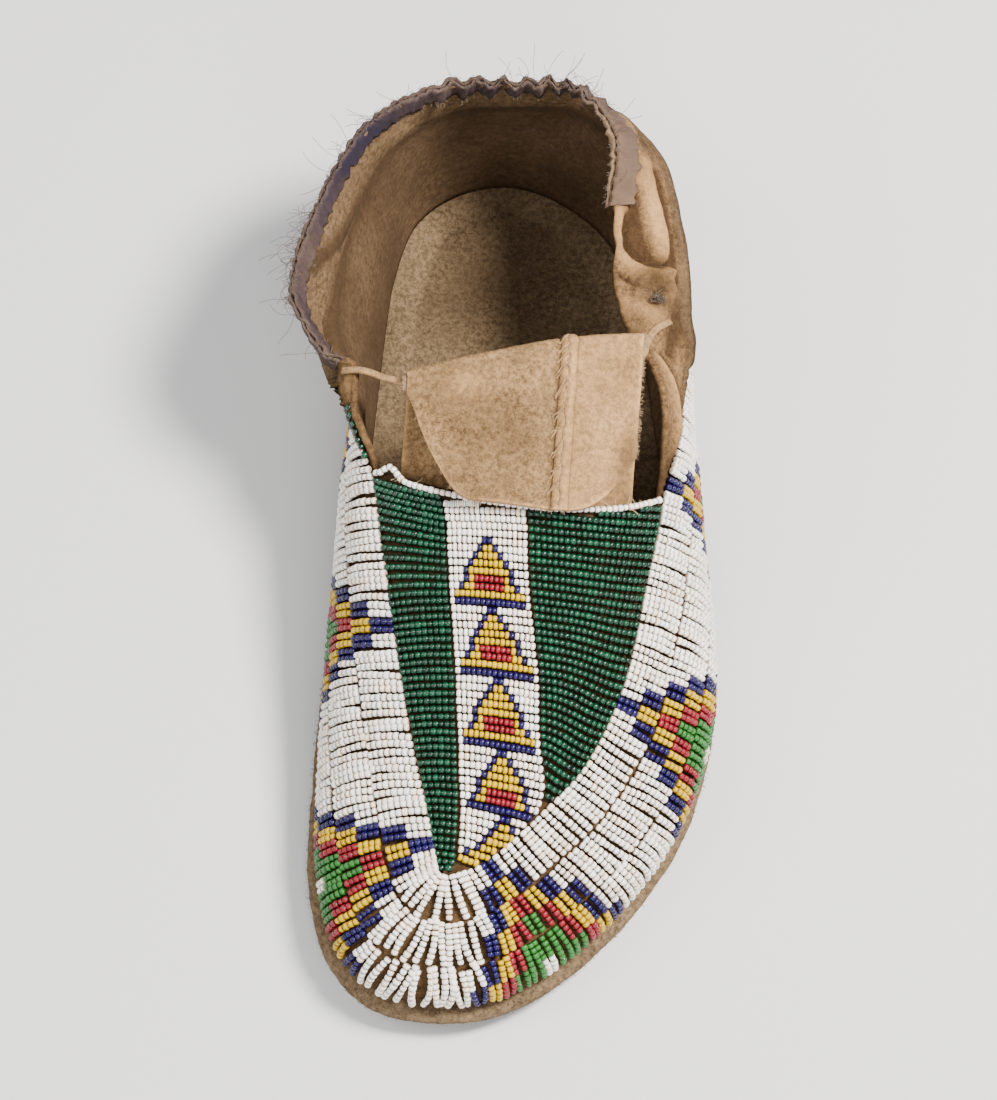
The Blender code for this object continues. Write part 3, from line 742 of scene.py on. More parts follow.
laneShape = {
    "names": ("bead_lane_lower", "bead_lane_middle", "bead_lane_upper"),
    "pitchLine": 0.66,  # where across the lane the strings sit side by side
    "sway": 0.00034,
    "edgeWander": 0.00050,
    "margin": 0.00022,
    "clump": 0.20,  # strings crowd and part by this share of the pitch
    # station, and how far the strings lean along the foot there at the band's top and at the sole
    "lean": ((0.0, 0.0, 0.0), (2.0, 0.0, -0.0035), (3.3, 0.0020, -0.0020), (4.7, 0.0043, 0.0),
             (6.0, 0.0030, 0.0), (7.6, 0.0, 0.0), (17.0, 0.0, 0.0), (18.3, 0.0030, 0.0),
             (20.4, 0.0058, -0.0010), (22.0, 0.0060, -0.0040), (23.5, 0.0060, -0.0070),
             (24.8, 0.0030, -0.0040), (26.0, 0.0, 0.0)),
    "looseEnds": 0.00018,
}


def laneLean(u, share):
    stations, atTop, atSole = zip(*laneShape["lean"])
    return np.interp(u % ring, stations, atTop) * share + np.interp(u % ring, stations, atSole) * (1 - share)


def makeLane(index):
    dice = random.Random(11 + index)
    beads = emptyBeads()
    count = beadSizes["laneBeads"]
    fine = np.arange(0, ring + 1e-9, gridStep)
    width = (bandTop(fine) - shoe["weltStrip"]) / 3
    line, _ = onWall(fine, shoe["weltStrip"] + width * (index + laneShape["pitchLine"]))
    arc = lengthAlong(line)
    strings = round(arc[-1] / beadSizes["lanePitch"])
    middles = [float(np.interp(c, fine, arc)) / arc[-1] * strings for c in lanePattern["centres"]]
    middles = [round(m) + 0.5 for m in middles]
    middles += [middles[0] + strings, middles[-1] - strings]
    for j in range(strings):
        crowd = laneShape["clump"] * noise.noise(Vector((j * 0.41, index * 9.1, 2.0))) * 1.7
        crowd += dice.uniform(-0.09, 0.09)
        u = float(np.interp((j + 0.5 + crowd) / strings * arc[-1], arc, fine))
        atToe = 1.0 - float(ease(1.0, 2.2, min(u, ring - u)))
        perMetre = 1 / max(np.linalg.norm(onWall(u + 0.1, 0.02)[0] - onWall(u - 0.1, 0.02)[0]) / 0.2, 1e-6)
        w = (bandTop(u) - shoe["weltStrip"]) / 3
        start = shoe["weltStrip"] + w * index
        wander = laneShape["edgeWander"] * noise.noise(Vector((u * 2.3, index * 7.7, 0))) * 1.4
        loose = laneShape["looseEnds"] * (1 + 2.2 * atToe)
        low = start + laneShape["margin"] + wander + dice.uniform(-loose, loose)
        high = start + w - laneShape["margin"] + wander + dice.uniform(-loose, loose)
        if index == 2:  # close up to the fields
            high = start + w + 0.0003
        t = (np.arange(count) + 0.5) / count
        sway = laneShape["sway"] * (1 + 0.8 * atToe)
        bow = noise.noise(Vector((u * 1.9, index * 3.1, 5.0))) * 1.6
        bow += dice.uniform(-0.4, 0.4) * (1 + 1.5 * atToe)
        tilt = noise.noise(Vector((u * 4.7, index * 5.3, 9.0))) * 1.9
        tilt += dice.uniform(-0.4, 0.4) * (1 + 1.2 * atToe)
        d = low + (high - low) * t
        lean = laneLean(u, d / float(bandTop(u)))
        swing = sway * (bow * np.sin(math.pi * t) + tilt * (t - 0.5) * 2)
        us = u + (swing + lean) * perMetre
        points, normals = softWall(us, d)
        lift = beadSizes["seat"] + beadSizes["hump"] * np.sin(math.pi * t) + dice.uniform(-0.00006, 0.00008)
        above = count * (2 - index)  # beads of the lanes over this one
        letters = [laneLetter(above + count - 1 - b, j + 0.5, middles) for b in range(count)]
        stringUp(beads, points, normals, letters, lift, dice)
    piece = beadPiece(laneShape["names"][index].replace("bead_lane", "beadLane"), beads, beadSizes["width"],
                      beadGlass, 21 + index)
    dress(piece, "white_beads", laneShape["names"][index])


for index in range(3):
    makeLane(index)

# the green lane over the band, from one corner of the throat round the heel to the other
border = {"first": 8.45, "last": 18.92, "pitch": 0.00206}  # its outer front end is under the sagging hide


def makeBorder():
    dice = random.Random(31)
    beads = emptyBeads()
    fine = np.arange(border["first"], border["last"] + 1e-9, gridStep)
    line, _ = onWall(fine, bandTop(fine) + shoe["borderWidth"] / 2)
    arc = lengthAlong(line)
    for j in range(int(arc[-1] / border["pitch"])):
        u = float(np.interp((j + 0.5 + dice.uniform(-0.08, 0.08)) * border["pitch"], arc, fine))
        edge = min(u - border["first"], border["last"] - u)
        width = shoe["borderWidth"] * (0.30 + 0.70 * float(ease(0.0, 0.45, edge)))
        low = float(bandTop(u)) + 0.0003
        high = min(low + width, float(ringValue(wallReach, u)) - 0.0006)
        count = max(1, round((high - low) / beadSizes["length"]))
        t = (np.arange(count) + 0.5) / count
        sway = dice.uniform(-0.012, 0.012)
        points, normals = softWall(u + sway * (t - 0.5), low + (high - low) * t)
        lift = beadSizes["seat"] - 0.0001 + beadSizes["hump"] * 0.7 * np.sin(math.pi * t)
        letters = "ld" * count if u < 8.75 else "d" * count
        stringUp(beads, points, normals, letters[:count], lift, dice, beadSizes["length"])
    piece = beadPiece("beadBorder", beads, beadSizes["greenWidth"], darkGlass, 33)
    dress(piece, "dark_green_beads", "bead_border")


makeBorder()

# the vamp: rows straight across, cut off by the throat's edge and by the band
triangle = (
    "wwwwwwwbbwwwwwww", "wwwwwwbyybwwwwww", "wwwwwbyyyybwwwww", "wwwwbyyyyyybwwww", "wwwbyyyyyyyybwww",
    "wwwbyrrrrrrybwww", "wwbyyrrrrrryybww", "wyyyyyyyyyyyyyyw", "wbbbbbbbbbbbbbbw",
)
stripRows = ("w" * 16,) * 5 + triangle * 3 + triangle[:7] + triangle[8:] + triangle[:5] + (
    "wbyyyyyyyyyyyyyy", "yyyyyyyyyyyyyyyy")
vampShares = np.linspace(0, 1, 61)
vampRows = np.arange(vampCount + 1) * gridStep
rowGrid, _ = onVamp(vampRows[:, None], vampShares[None, :])


def vampFieldRow(y):
    # the line across the vamp at these heights along the foot, one for each share across
    return np.array([np.interp(y[i], rowGrid[:, i, 1], vampRows, left=np.nan, right=np.nan)
                     for i in range(len(vampShares))])


def makeField(name, node, slotName, letters, startTable, endTable, firstRow, width, finish, seed, tilt):
    dice = random.Random(seed)
    beads = emptyBeads()
    middle = rowGrid[:, 24]
    arc = lengthAlong(middle[::-1])
    throatY = rowGrid[-1, :, 1]
    for k in range(-6, 60):
        y0 = float(np.interp(k * beadSizes["rowPitch"] + beadSizes["rowPitch"] * 0.6, arc, middle[::-1, 1]))
        if k < 0:
            y0 = float(throatY[24]) - (k + 0.6) * beadSizes["rowPitch"]
        wave = 0.00022 * np.array([noise.noise(Vector((s * 5, k * 0.37, seed))) for s in vampShares])
        y = y0 + tilt(k, vampShares, throatY) + wave
        rows = vampFieldRow(y)
        inside = ~np.isnan(rows) & (y < throatY - 0.0013)
        starts, ends = [
            np.array([splineRow([(s,) for s in table], min(r, throat - 0.01), False)[0] if ok else outside
                      for r, ok in zip(rows, inside)])
            for table, outside in ((startTable, 9.0), (endTable, -9.0))]
        inside &= (rows > firstRow) & (vampShares >= starts) & (vampShares <= ends)
        if inside.sum() < 2:
            continue
        # the field's own part of the row, walked off bead by bead
        fineT = np.linspace(vampShares[inside][0], vampShares[inside][-1], 80)
        fineRow = np.interp(fineT, vampShares[inside], rows[inside])
        step = vampShares[1] - vampShares[0]
        a = max(np.interp(fineT[0], vampShares[inside], starts[inside]), fineT[0] - step * 1.3, 0.0)
        b = min(np.interp(fineT[-1], vampShares[inside], ends[inside]), fineT[-1] + step * 1.3, 1.0)
        fineT = np.concatenate(([a], fineT, [b]))
        fineRow = np.concatenate(([fineRow[0]], fineRow, [fineRow[-1]]))
        line, normals = onVamp(fineRow, fineT)
        run = lengthAlong(line)
        length = run[-1] - 0.0004
        if letters:
            if k < 0 or k >= len(letters):
                continue
            row = letters[k]
            full = float(np.interp(fineRow[0], range(8), endTable)) < 0.985
            spacing = length / len(row) if full else beadSizes["length"] * 0.965
            spacing = min(spacing, beadSizes["length"] * 1.02)
            row = row[:max(0, int(length / spacing + 0.35))]
        else:
            count = max(1, round(length / beadSizes["length"]))
            spacing = length / count
            row = "d" * count
        at = 0.0002 + (np.arange(len(row)) + 0.5) * spacing + dice.uniform(-0.0001, 0.0001)
        points = np.array([[np.interp(s, run, line[:, c]) for c in range(3)] for s in at])
        ups = unit(np.array([[np.interp(s, run, normals[:, c]) for c in range(3)] for s in at]))
        lift = beadSizes["seat"] + 0.00008 * np.sin(at * 900 + k) + dice.uniform(-0.00006, 0.00006)
        if len(row) > 1:
            stringUp(beads, points, ups, row, lift, dice, spacing)
    dress(beadPiece(name, beads, width, finish, seed), slotName, node)


def medialTilt(k, shares, throatY):
    edge = np.interp(0.265, shares, throatY)
    return (throatY - edge) * 0.85 * (1 - ease(0, 14, k))


def centreTilt(k, shares, throatY):
    return -(shares - 0.35) * 0.0016 * min(max((k - 13) / 27, 0.0), 1.3) ** 1.3


def lateralTilt(k, shares, throatY):
    droop = -0.0030 * ease(0.68, 1.0, shares) * min(max((k - 9) / 13, 0.0), 1.0)
    followed = (throatY - np.interp(0.62, shares, throatY)) * 0.5 * (1 - min(max(k / 28, 0.0), 1.0))
    return droop + followed


# one string of white beads along the throat's edge, standing up in a loop by the medial corner
edging = {"loop": 0.0028, "loopAt": 0.085, "loopWidth": 0.036, "set": 0.0004, "beadShare": 0.88}


def makeEdging():
    dice = random.Random(51)
    beads = emptyBeads()
    t = np.linspace(0.012, 0.988, 400)
    line, normals = onVamp(np.full_like(t, throat - 0.001), t)
    rise = edging["loop"] * np.exp(-((t - edging["loopAt"]) / edging["loopWidth"]) ** 2)
    line = line + np.outer(rise - edging["set"], (0, 1.0, 0.25))
    run = lengthAlong(line)
    count = int(run[-1] / beadSizes["length"])
    at = (np.arange(count) + 0.5) * run[-1] / count
    points = np.array([[np.interp(s, run, line[:, c]) for c in range(3)] for s in at])
    ups = unit(np.array([[np.interp(s, run, normals[:, c]) for c in range(3)] for s in at]))
    lift = beadSizes["seat"] + 0.00015 * np.sin(at * 400)
    stringUp(beads, points, ups, "w" * count, lift, dice)
    piece = beadPiece("beadEdging", beads, beadSizes["width"] * edging["beadShare"], beadGlass, 52)
    dress(piece, "white_beads")


makeEdging()

nothing, everything = (0.0,) * 8, (1.0,) * 8
makeField("beadFieldMedial", "bead_field_medial", "dark_green_beads", None, nothing, medialField, 1.0,
          beadSizes["greenWidth"], darkGlass, 41, medialTilt)
makeField("beadFieldCentre", "bead_field_centre", "white_beads", stripRows, medialField, lateralField, 1.34,
          beadSizes["width"] * 0.97, beadGlass, 42, centreTilt)
makeField("beadFieldLateral", "bead_field_lateral", "dark_green_beads", None, lateralField, everything, 2.9,
          beadSizes["greenWidth"], darkGlass, 43, lateralTilt)

# the hide itself
hideShape = {
    "rings": 520,
    "rise": 58,
    "across": 42,
    "nap": 0.00010,
    "buckle": 0.00045,
    "gather": 0.00042,  # the pulled-up waves under the binding at the heel
    "gatherReach": 0.011,
    "lumpSizes": (0.014, 0.006),
    "napSize": 0.0016,
}
# each crease is a line of (station, distance below the top edge), a half width and a height,
# below zero for a trough, all in millimetres but the stations
creases = (
    (((10.05, 4.2), (9.90, 3.4), (9.73, 4.2), (9.61, 5.3), (9.55, 7.2), (9.53, 8.8), (9.54, 10.6)),
     1.15, -3.0),
    (((9.74, 0.2), (9.66, 1.2), (9.55, 3.4), (9.47, 6.0), (9.45, 8.0), (9.47, 10.2)), 1.5, 2.0),
    (((10.12, 1.2), (9.98, 2.0), (9.82, 1.8)), 1.8, 1.3),
    (((9.42, 1.5), (9.36, 3.2), (9.30, 5.0)), 0.45, -1.3),
    (((9.48, 10.4), (9.40, 11.6), (9.28, 11.4), (9.20, 10.0)), 0.9, 1.4),
    (((9.24, 9.4), (9.15, 8.4), (9.10, 7.2)), 0.7, -1.1),
    (((10.7, 5.8), (10.4, 7.0), (10.15, 8.6), (9.9, 9.6), (9.62, 9.8)), 1.7, 1.5),
    (((10.35, 5.2), (10.0, 5.8), (9.75, 6.2), (9.62, 6.8)), 1.2, -1.5),
    (((10.6, 8.6), (10.15, 10.8), (9.87, 11.4), (9.55, 11.6), (9.3, 12.2), (9.1, 12.4)), 0.8, -1.9),
    (((9.10, 1.0), (9.02, 4.0), (8.95, 7.0)), 2.2, 0.8),
    (((8.95, 10.6), (8.75, 9.4), (8.5, 7.8)), 1.2, -0.8),
    (((8.40, 3.2), (8.2, 4.2), (8.0, 4.8), (7.7, 4.6), (7.45, 3.4)), 1.1, 0.9),
    (((8.44, 5.6), (8.2, 6.6), (7.95, 7.0), (7.7, 6.6)), 0.9, -1.0),
    (((11.0, 8.0), (11.5, 13.0), (12.0, 15.0)), 2.6, -0.9),
    (((10.9, 4.0), (11.3, 9.0), (11.6, 18.0)), 2.6, 0.9),
    (((13.0, 5.0), (13.0, 12.0), (13.0, 22.0)), 0.5, -0.7),
    (((13.03, 5.0), (13.03, 12.0), (13.03, 22.0)), 1.6, 0.5),
    (((17.85, 3.0), (18.0, 4.5), (18.15, 5.5)), 1.2, -0.8),
    (((18.05, 0.8), (18.2, 1.6), (18.4, 2.0)), 0.9, 0.7),
    (((16.6, 5.0), (16.2, 12.0), (15.7, 16.0)), 2.6, -0.8),
    (((14.2, 4.0), (14.3, 12.0), (14.2, 20.0)), 2.4, -0.8),
    (((12.1, 4.0), (12.0, 12.0), (12.2, 20.0)), 2.4, 0.7),
)
# darker patches in the outer wing's folds and down its flank: station, distance below the edge,
# the half sizes of both, and how dark
darkPatches = ((9.42, 8.2, 0.30, 3.6, 0.75), (9.0, 12.5, 0.35, 3.0, 0.60))


def creaseRelief(u, below, perStation):
    total = np.zeros_like(u)
    for path, width, height in creases:
        near = np.full_like(u, 1e9)
        for (u0, b0), (u1, b1) in zip(path, path[1:]):
            ax, ay = (u - u0) * perStation * 1000, below * 1000 - b0
            bx, by = (u1 - u0) * perStation * 1000, b1 - b0
            t = np.clip((ax * bx + ay * by) / (bx * bx + by * by + 1e-9), 0, 1)
            near = np.minimum(near, np.hypot(ax - t * bx, ay - t * by))
        total += height / 1000 * np.exp(-(near / width) ** 2)
    return total


def gatherWave(u):
    # the waves that the binding's drawn-up thread leaves, strongest at the back of the heel
    strength = ease(11.2, 12.2, u) * (1 - ease(13.6, 14.6, u)) * (1 - 0.45 * np.sin(u * 4.3) ** 2)
    strength = strength + 0.10 * ease(9.9, 11.0, u) * (1 - ease(15.5, 17.2, u))
    return strength * np.sin(u * 2 * math.pi * 3.05 + 1.3 * np.sin(u * 2.1))


# the soft wings slump outwards and down over the green border: station, share
slump = {
    "out": 0.0036,
    "down": 0.0050,
    "where": ((7.2, 0.0), (7.7, 0.35), (8.4, 0.5), (8.8, 1.05), (9.8, 1.25), (10.8, 1.1), (12.0, 0.4),
              (12.6, 0.0), (16.8, 0.0), (17.3, 0.7), (17.7, 1.0), (18.0, 1.0), (18.2, 0.8), (18.4, 0.5),
              (18.6, 0.2), (18.8, 0.0)),
    # station, and millimetres that the top edge leans out there
    "edge": ((16.8, 0.0), (17.25, 2.0), (17.5, 3.8), (17.75, 4.6), (17.92, 1.6), (18.0, -1.2),
             (18.08, -1.4), (18.25, 0.2), (18.5, 1.2), (18.75, 0.8), (19.0, 0.0)),
}


def bareFrom(u):
    # the height where the hide shows above the beads; the border's outer front end is covered
    near = np.minimum(np.asarray(u) % ring, ring - np.asarray(u) % ring)
    covered = (np.asarray(u) % ring) < ring / 2
    begin = np.where(covered, 8.45, 7.2)
    return bandTop(u) + shoe["borderWidth"] * ease(begin, begin + 0.6, near)


def wing(u, d):
    reach = ringValue(wallReach, u)
    free = bareFrom(u)
    v = np.clip((d - free) / np.maximum(reach - free, 1e-5), 0, 1)
    strength = np.interp(np.asarray(u) % ring, *zip(*slump["where"]))
    down = slump["down"] * strength * ease(0.0, 0.16, v) * (1 - ease(0.16, 0.75, v))
    points, normals = softWall(u, d - down)
    out = slump["out"] * strength * ease(0.0, 0.10, v) * (1 - ease(0.30, 1.0, v))
    out = out + np.interp(np.asarray(u) % ring, *zip(*slump["edge"])) / 1000 * ease(0.35, 1.0, v)
    return points + normals * np.asarray(out)[..., None], normals


def makeUpper():
    n, m = hideShape["rings"], hideShape["rise"]
    u = np.arange(n)[:, None] * ring / n + np.zeros((1, m + 1))
    share = np.linspace(0, 1, m + 1)[None, :] + np.zeros((n, 1))
    reach = ringValue(wallReach, u)
    # rows run along the line where the bare hide begins
    free = np.minimum(bareFrom(u) / reach, 0.995)
    split = free + (0.42 - free) * ease(7.2, 8.4, np.minimum(u, ring - u))
    shown = free + (1 - free) * (share - split) / (1 - split)
    d = reach * np.where(share < split, free * share / split, shown)
    below = reach - d
    points, normals = wing(u, d)
    perStation = np.linalg.norm(onWall(u + 0.1, d)[0] - onWall(u - 0.1, d)[0], axis=-1) / 0.2
    bare = ease(0.0, 0.003, d - bareFrom(u))
    fold = creaseRelief(u, below, perStation) * bare
    gathers = gatherWave(u) * hideShape["gather"] * np.exp(-(below / hideShape["gatherReach"]) ** 2) * bare
    flat = points.reshape(-1, 3)
    broad, small = hideShape["lumpSizes"]
    lumps = np.array([ripple(p, broad, 1.0) + 0.5 * ripple(p, small, 2.0) for p in flat]).reshape(u.shape)
    nap = np.array([ripple(p, hideShape["napSize"], 4.0) for p in flat]).reshape(u.shape)
    relief = fold + gathers + lumps * hideShape["buckle"] * (0.25 + 0.75 * bare) + nap * hideShape["nap"]
    points = points + normals * relief[..., None]
    # painted shade under the bead band, darker along the band's top edge, handling dirt along the collar's
    # edge, painted shade in the creases' troughs, and the darker patches
    soilAndShade = 0.60 * (1 - ease(-0.001, 0.001, d - bareFrom(u))) + 0.25 * np.exp(-(below / 0.003) ** 2)
    soilAndShade += 0.45 * np.exp(-((d - bareFrom(u)) / 0.003) ** 2) + 1.0 * np.clip(-fold / 0.0009, 0, 1)
    for station, under, wide, tall, dark in darkPatches:
        soilAndShade += dark * np.exp(-((u - station) / wide) ** 2 - ((below * 1000 - under) / tall) ** 2) * bare
    soilAndShade = np.clip(soilAndShade, 0, 1)
    # painted highlight on the creases' ridges
    wearAndHighlight = np.clip(fold / 0.0011, 0, 1) * 0.95

    rows = vampCount + 1
    a = hideShape["across"]
    rowAt = np.linspace(0, throat, rows)[1:, None] + np.zeros((1, a + 1))
    tAt = np.linspace(0, 1, a + 1)[None, :] + np.zeros((rows - 1, 1))
    vamp, up = onVamp(rowAt, tAt)
    wave = np.array([ripple(p, 0.012, 1.0) for p in vamp.reshape(-1, 3)]).reshape(rowAt.shape)
    inner = np.sin(math.pi * tAt)
    vamp = vamp + up * (wave * 0.0002 * inner)[..., None]

    allPoints = list(points.reshape(-1, 3))
    faces = sheetFaces(n, m + 1, True)
    tops = [i * (m + 1) + m for i in range(n)]
    perRow = n // ring
    previous = None
    for i in range(rows - 1):
        station = rowAt[i, 0]
        medial, lateral = tops[-round(station * perRow)], tops[round(station * perRow)]
        start = len(allPoints)
        allPoints += list(vamp[i, 1:-1])
        line = [medial, *range(start, start + a - 1), lateral]
        if previous:
            faces += [(previous[k], previous[k + 1], line[k + 1], line[k]) for k in range(a)]
        else:
            faces += [(tops[0], line[k + 1], line[k]) for k in range(a)]
        previous = line
    piece = meshPiece("hideUpper", allPoints, faces, hideTan)
    piece.data.materials.append(hideInside)
    extra = len(allPoints) - len(flat)
    # the vamp under its bead fields is painted dark as shade between the rows
    paint(piece, "soilAndShade", list(soilAndShade.ravel()) + [0.85] * extra)
    paint(piece, "wearAndHighlight", list(wearAndHighlight.ravel()) + [0.0] * extra)
    wall = piece.modifiers.new("wall", "SOLIDIFY")
    wall.thickness = shoe["hideWall"]
    wall.offset = -1
    wall.use_even_offset = False
    wall.material_offset = 1
    wall.material_offset_rim = 0
    settle(piece)
    surface = surfaceOf(piece)
    dress(piece, "smoked_hide", "upper")
    print("upper", len(piece.data.polygons))
    return surface


upperSurface = makeUpper()

# rawhide sole: rim curled up round the foot, rounded in underneath, its cut edge fuzzy
soleShape = {
    "rings": 520,
    "rungs": 24,
    "spread": 0.0015,
    "fuzz": 0.00042,
    "lumps": 0.0004,
    "insole": 0.00018,
    "hairs": 2200,
    "hair": 0.00013,
    "hairLength": (0.0004, 0.0011),
}


def makeSole():
    n = soleShape["rings"]
    rim = shoe["soleThickness"] + shoe["soleCurl"]
    levels = [(shoe["soleRounding"] * (1 - math.sin(a)), rim * 0.62 * (1 - math.cos(a)))
              for a in np.radians(np.linspace(0, 90, 9))]
    seat = shoe["seamInset"] + shoe["hideWall"] + 0.0012
    levels += [(shoe["soleRounding"] * 0.03, rim * 0.74), (shoe["soleRounding"] * 0.1, rim * 0.86),
               (shoe["soleRounding"] * 0.22, rim * 0.95), (shoe["seamInset"] * 0.5, rim),
               (shoe["seamInset"], rim), (seat, rim), (seat * 1.5, rim * 0.88),
               (seat * 2.0, shoe["soleThickness"])]
    points, fuzz = [], []
    for i in range(n):
        u = i * ring / n
        edge, out = outline(u), outward(u)
        wider = soleShape["spread"] * (0.45 + 0.55 * (1 - float(ease(2.5, 6.0, min(u, ring - u)))))
        for j, (inset, height) in enumerate(levels):
            p = edge - out * (inset - wider * float(ease(0.2, 1.0, 1 - abs(j - 7) / 8)))
            p = np.array((p[0], p[1], float(soleLift(p[1])) + height)) + shift
            rough = 1.0 if 4 < j < 15 else 0.0
            lump = ripple(p, 0.0012, 7.0) * soleShape["fuzz"] + ripple(p, 0.007, 8.0) * soleShape["lumps"]
            points.append(p + (out * 0.7 + np.array((0, 0, 0.7))) * lump * rough)
            fuzz.append(0.12 + 0.35 * max(0.0, ripple(p, 0.02, 9.0)))
    rims = np.array(points).reshape(n, len(levels), 3)
    faces = sheetFaces(n, len(levels), True)
    half = n // 2
    # underside and insole: rungs across from the lateral to the medial edge
    for side, turnOver in ((0, True), (len(levels) - 1, False)):
        previous = None
        for k in range(0, half + 1):
            left, right = k * len(levels) + side, (-k % n) * len(levels) + side
            if k in (0, half):
                line = [left]
            else:
                a, b = np.array(points[left]), np.array(points[right])
                start = len(points)
                for s in range(1, soleShape["rungs"]):
                    p = a + (b - a) * s / soleShape["rungs"]
                    uneven = 0.0 if side == 0 else soleShape["insole"] * ripple(p, 0.011, 5.0)
                    points.append(p + np.array((0, 0, uneven)))
                    fuzz.append(0.4 + 0.4 * ripple(p, 0.03, 6.0))
                line = [left, *range(start, start + soleShape["rungs"] - 1), right]
            if previous:
                if len(previous) == 1:
                    made = [(previous[0], line[s], line[s + 1]) for s in range(len(line) - 1)]
                elif len(line) == 1:
                    made = [(previous[s], line[0], previous[s + 1]) for s in range(len(previous) - 1)]
                else:
                    made = [(previous[s], line[s], line[s + 1], previous[s + 1])
                            for s in range(len(line) - 1)]
                faces += [face[::-1] if turnOver else face for face in made]
            previous = line
    piece = meshPiece("rawhideSole", points, faces, rawhide)
    paint(piece, "soilAndShade", fuzz)
    paint(piece, "wearAndHighlight", [0.0] * len(points))
    dress(piece, "rawhide", "sole")
    print("sole", len(piece.data.polygons))
    return rims


soleRims = makeSole()


def makeSoleHairs():
    # the rim's fuzz, standing off its curled edge
    dice = random.Random(81)
    runs = []
    for _ in range(soleShape["hairs"]):
        i, j = dice.randrange(len(soleRims)), dice.randrange(5, 13)
        p = soleRims[i, j]
        out = outward(i * ring / len(soleRims))
        way = out * dice.uniform(0.2, 1.0) + np.array((0, 0, dice.uniform(0.1, 1.0)))
        runs.append(looseRun(p, way, dice.uniform(*soleShape["hairLength"]), dice, 0.6, 3))
    threadPiece("soleHairs", runs, soleShape["hair"], rawhideHair, "rawhide", 3)


makeSoleHairs()

# the tongue: up from under the vamp, folded forward over the thong
tongue = {
    "line": ((0.482, 0.660), (0.530, 0.750), (0.590, 0.845), (0.628, 0.908), (0.653, 0.948), (0.661, 0.985),
             (0.6525, 1.018), (0.627, 1.020), (0.582, 0.978), (0.534, 0.925), (0.489, 0.890)),
    "medial": -0.195,
    "lateral": 0.395,
    "skew": 0.064,
    "arch": 0.065,
    "cuts": (3.0, 0.30, 1.25),  # how far the flap's end stops short at its corners and seam, in rows
    "wall": 0.0016,
    "seam": 0.66,  # the whip-stitched join, share of its width
    "across": 150,
    "rows": 190,
    "lap": 0.0007,  # the strip of hide turned over beside the seam
    "groove": 0.0006,
    "hem": 0.0005,
    "foldRidge": 0.0007,
}


def flapCut(across):
    corner, low, far = tongue["cuts"]
    rounding = corner * max(0.0, 1 - across / 0.32) ** 2
    slope = low * max(0.0, 1 - across / tongue["seam"])
    return rounding + slope + far * max(0.0, (across - tongue["seam"]) / (1 - tongue["seam"])) ** 2


def tonguePoint(across, row):
    last, fold = len(tongue["line"]) - 1, 6.0
    row = min(row, fold) + max(row - fold, 0) * (last - flapCut(across) - fold) / (last - fold)
    a, up = splineRow(tongue["line"], row, False)
    side = 2 * across - 1
    skew = tongue["skew"] * side * 0.5 * ease(1.0, 4.0, row) * (1 - ease(7.0, last, row))
    x = (tongue["medial"] + (tongue["lateral"] - tongue["medial"]) * across) * shoe["ballWidth"]
    z = (up - tongue["arch"] * side * side) * shoe["collarHeight"]
    return np.array((x, (a + skew - 0.5) * shoe["length"], z)) + shift


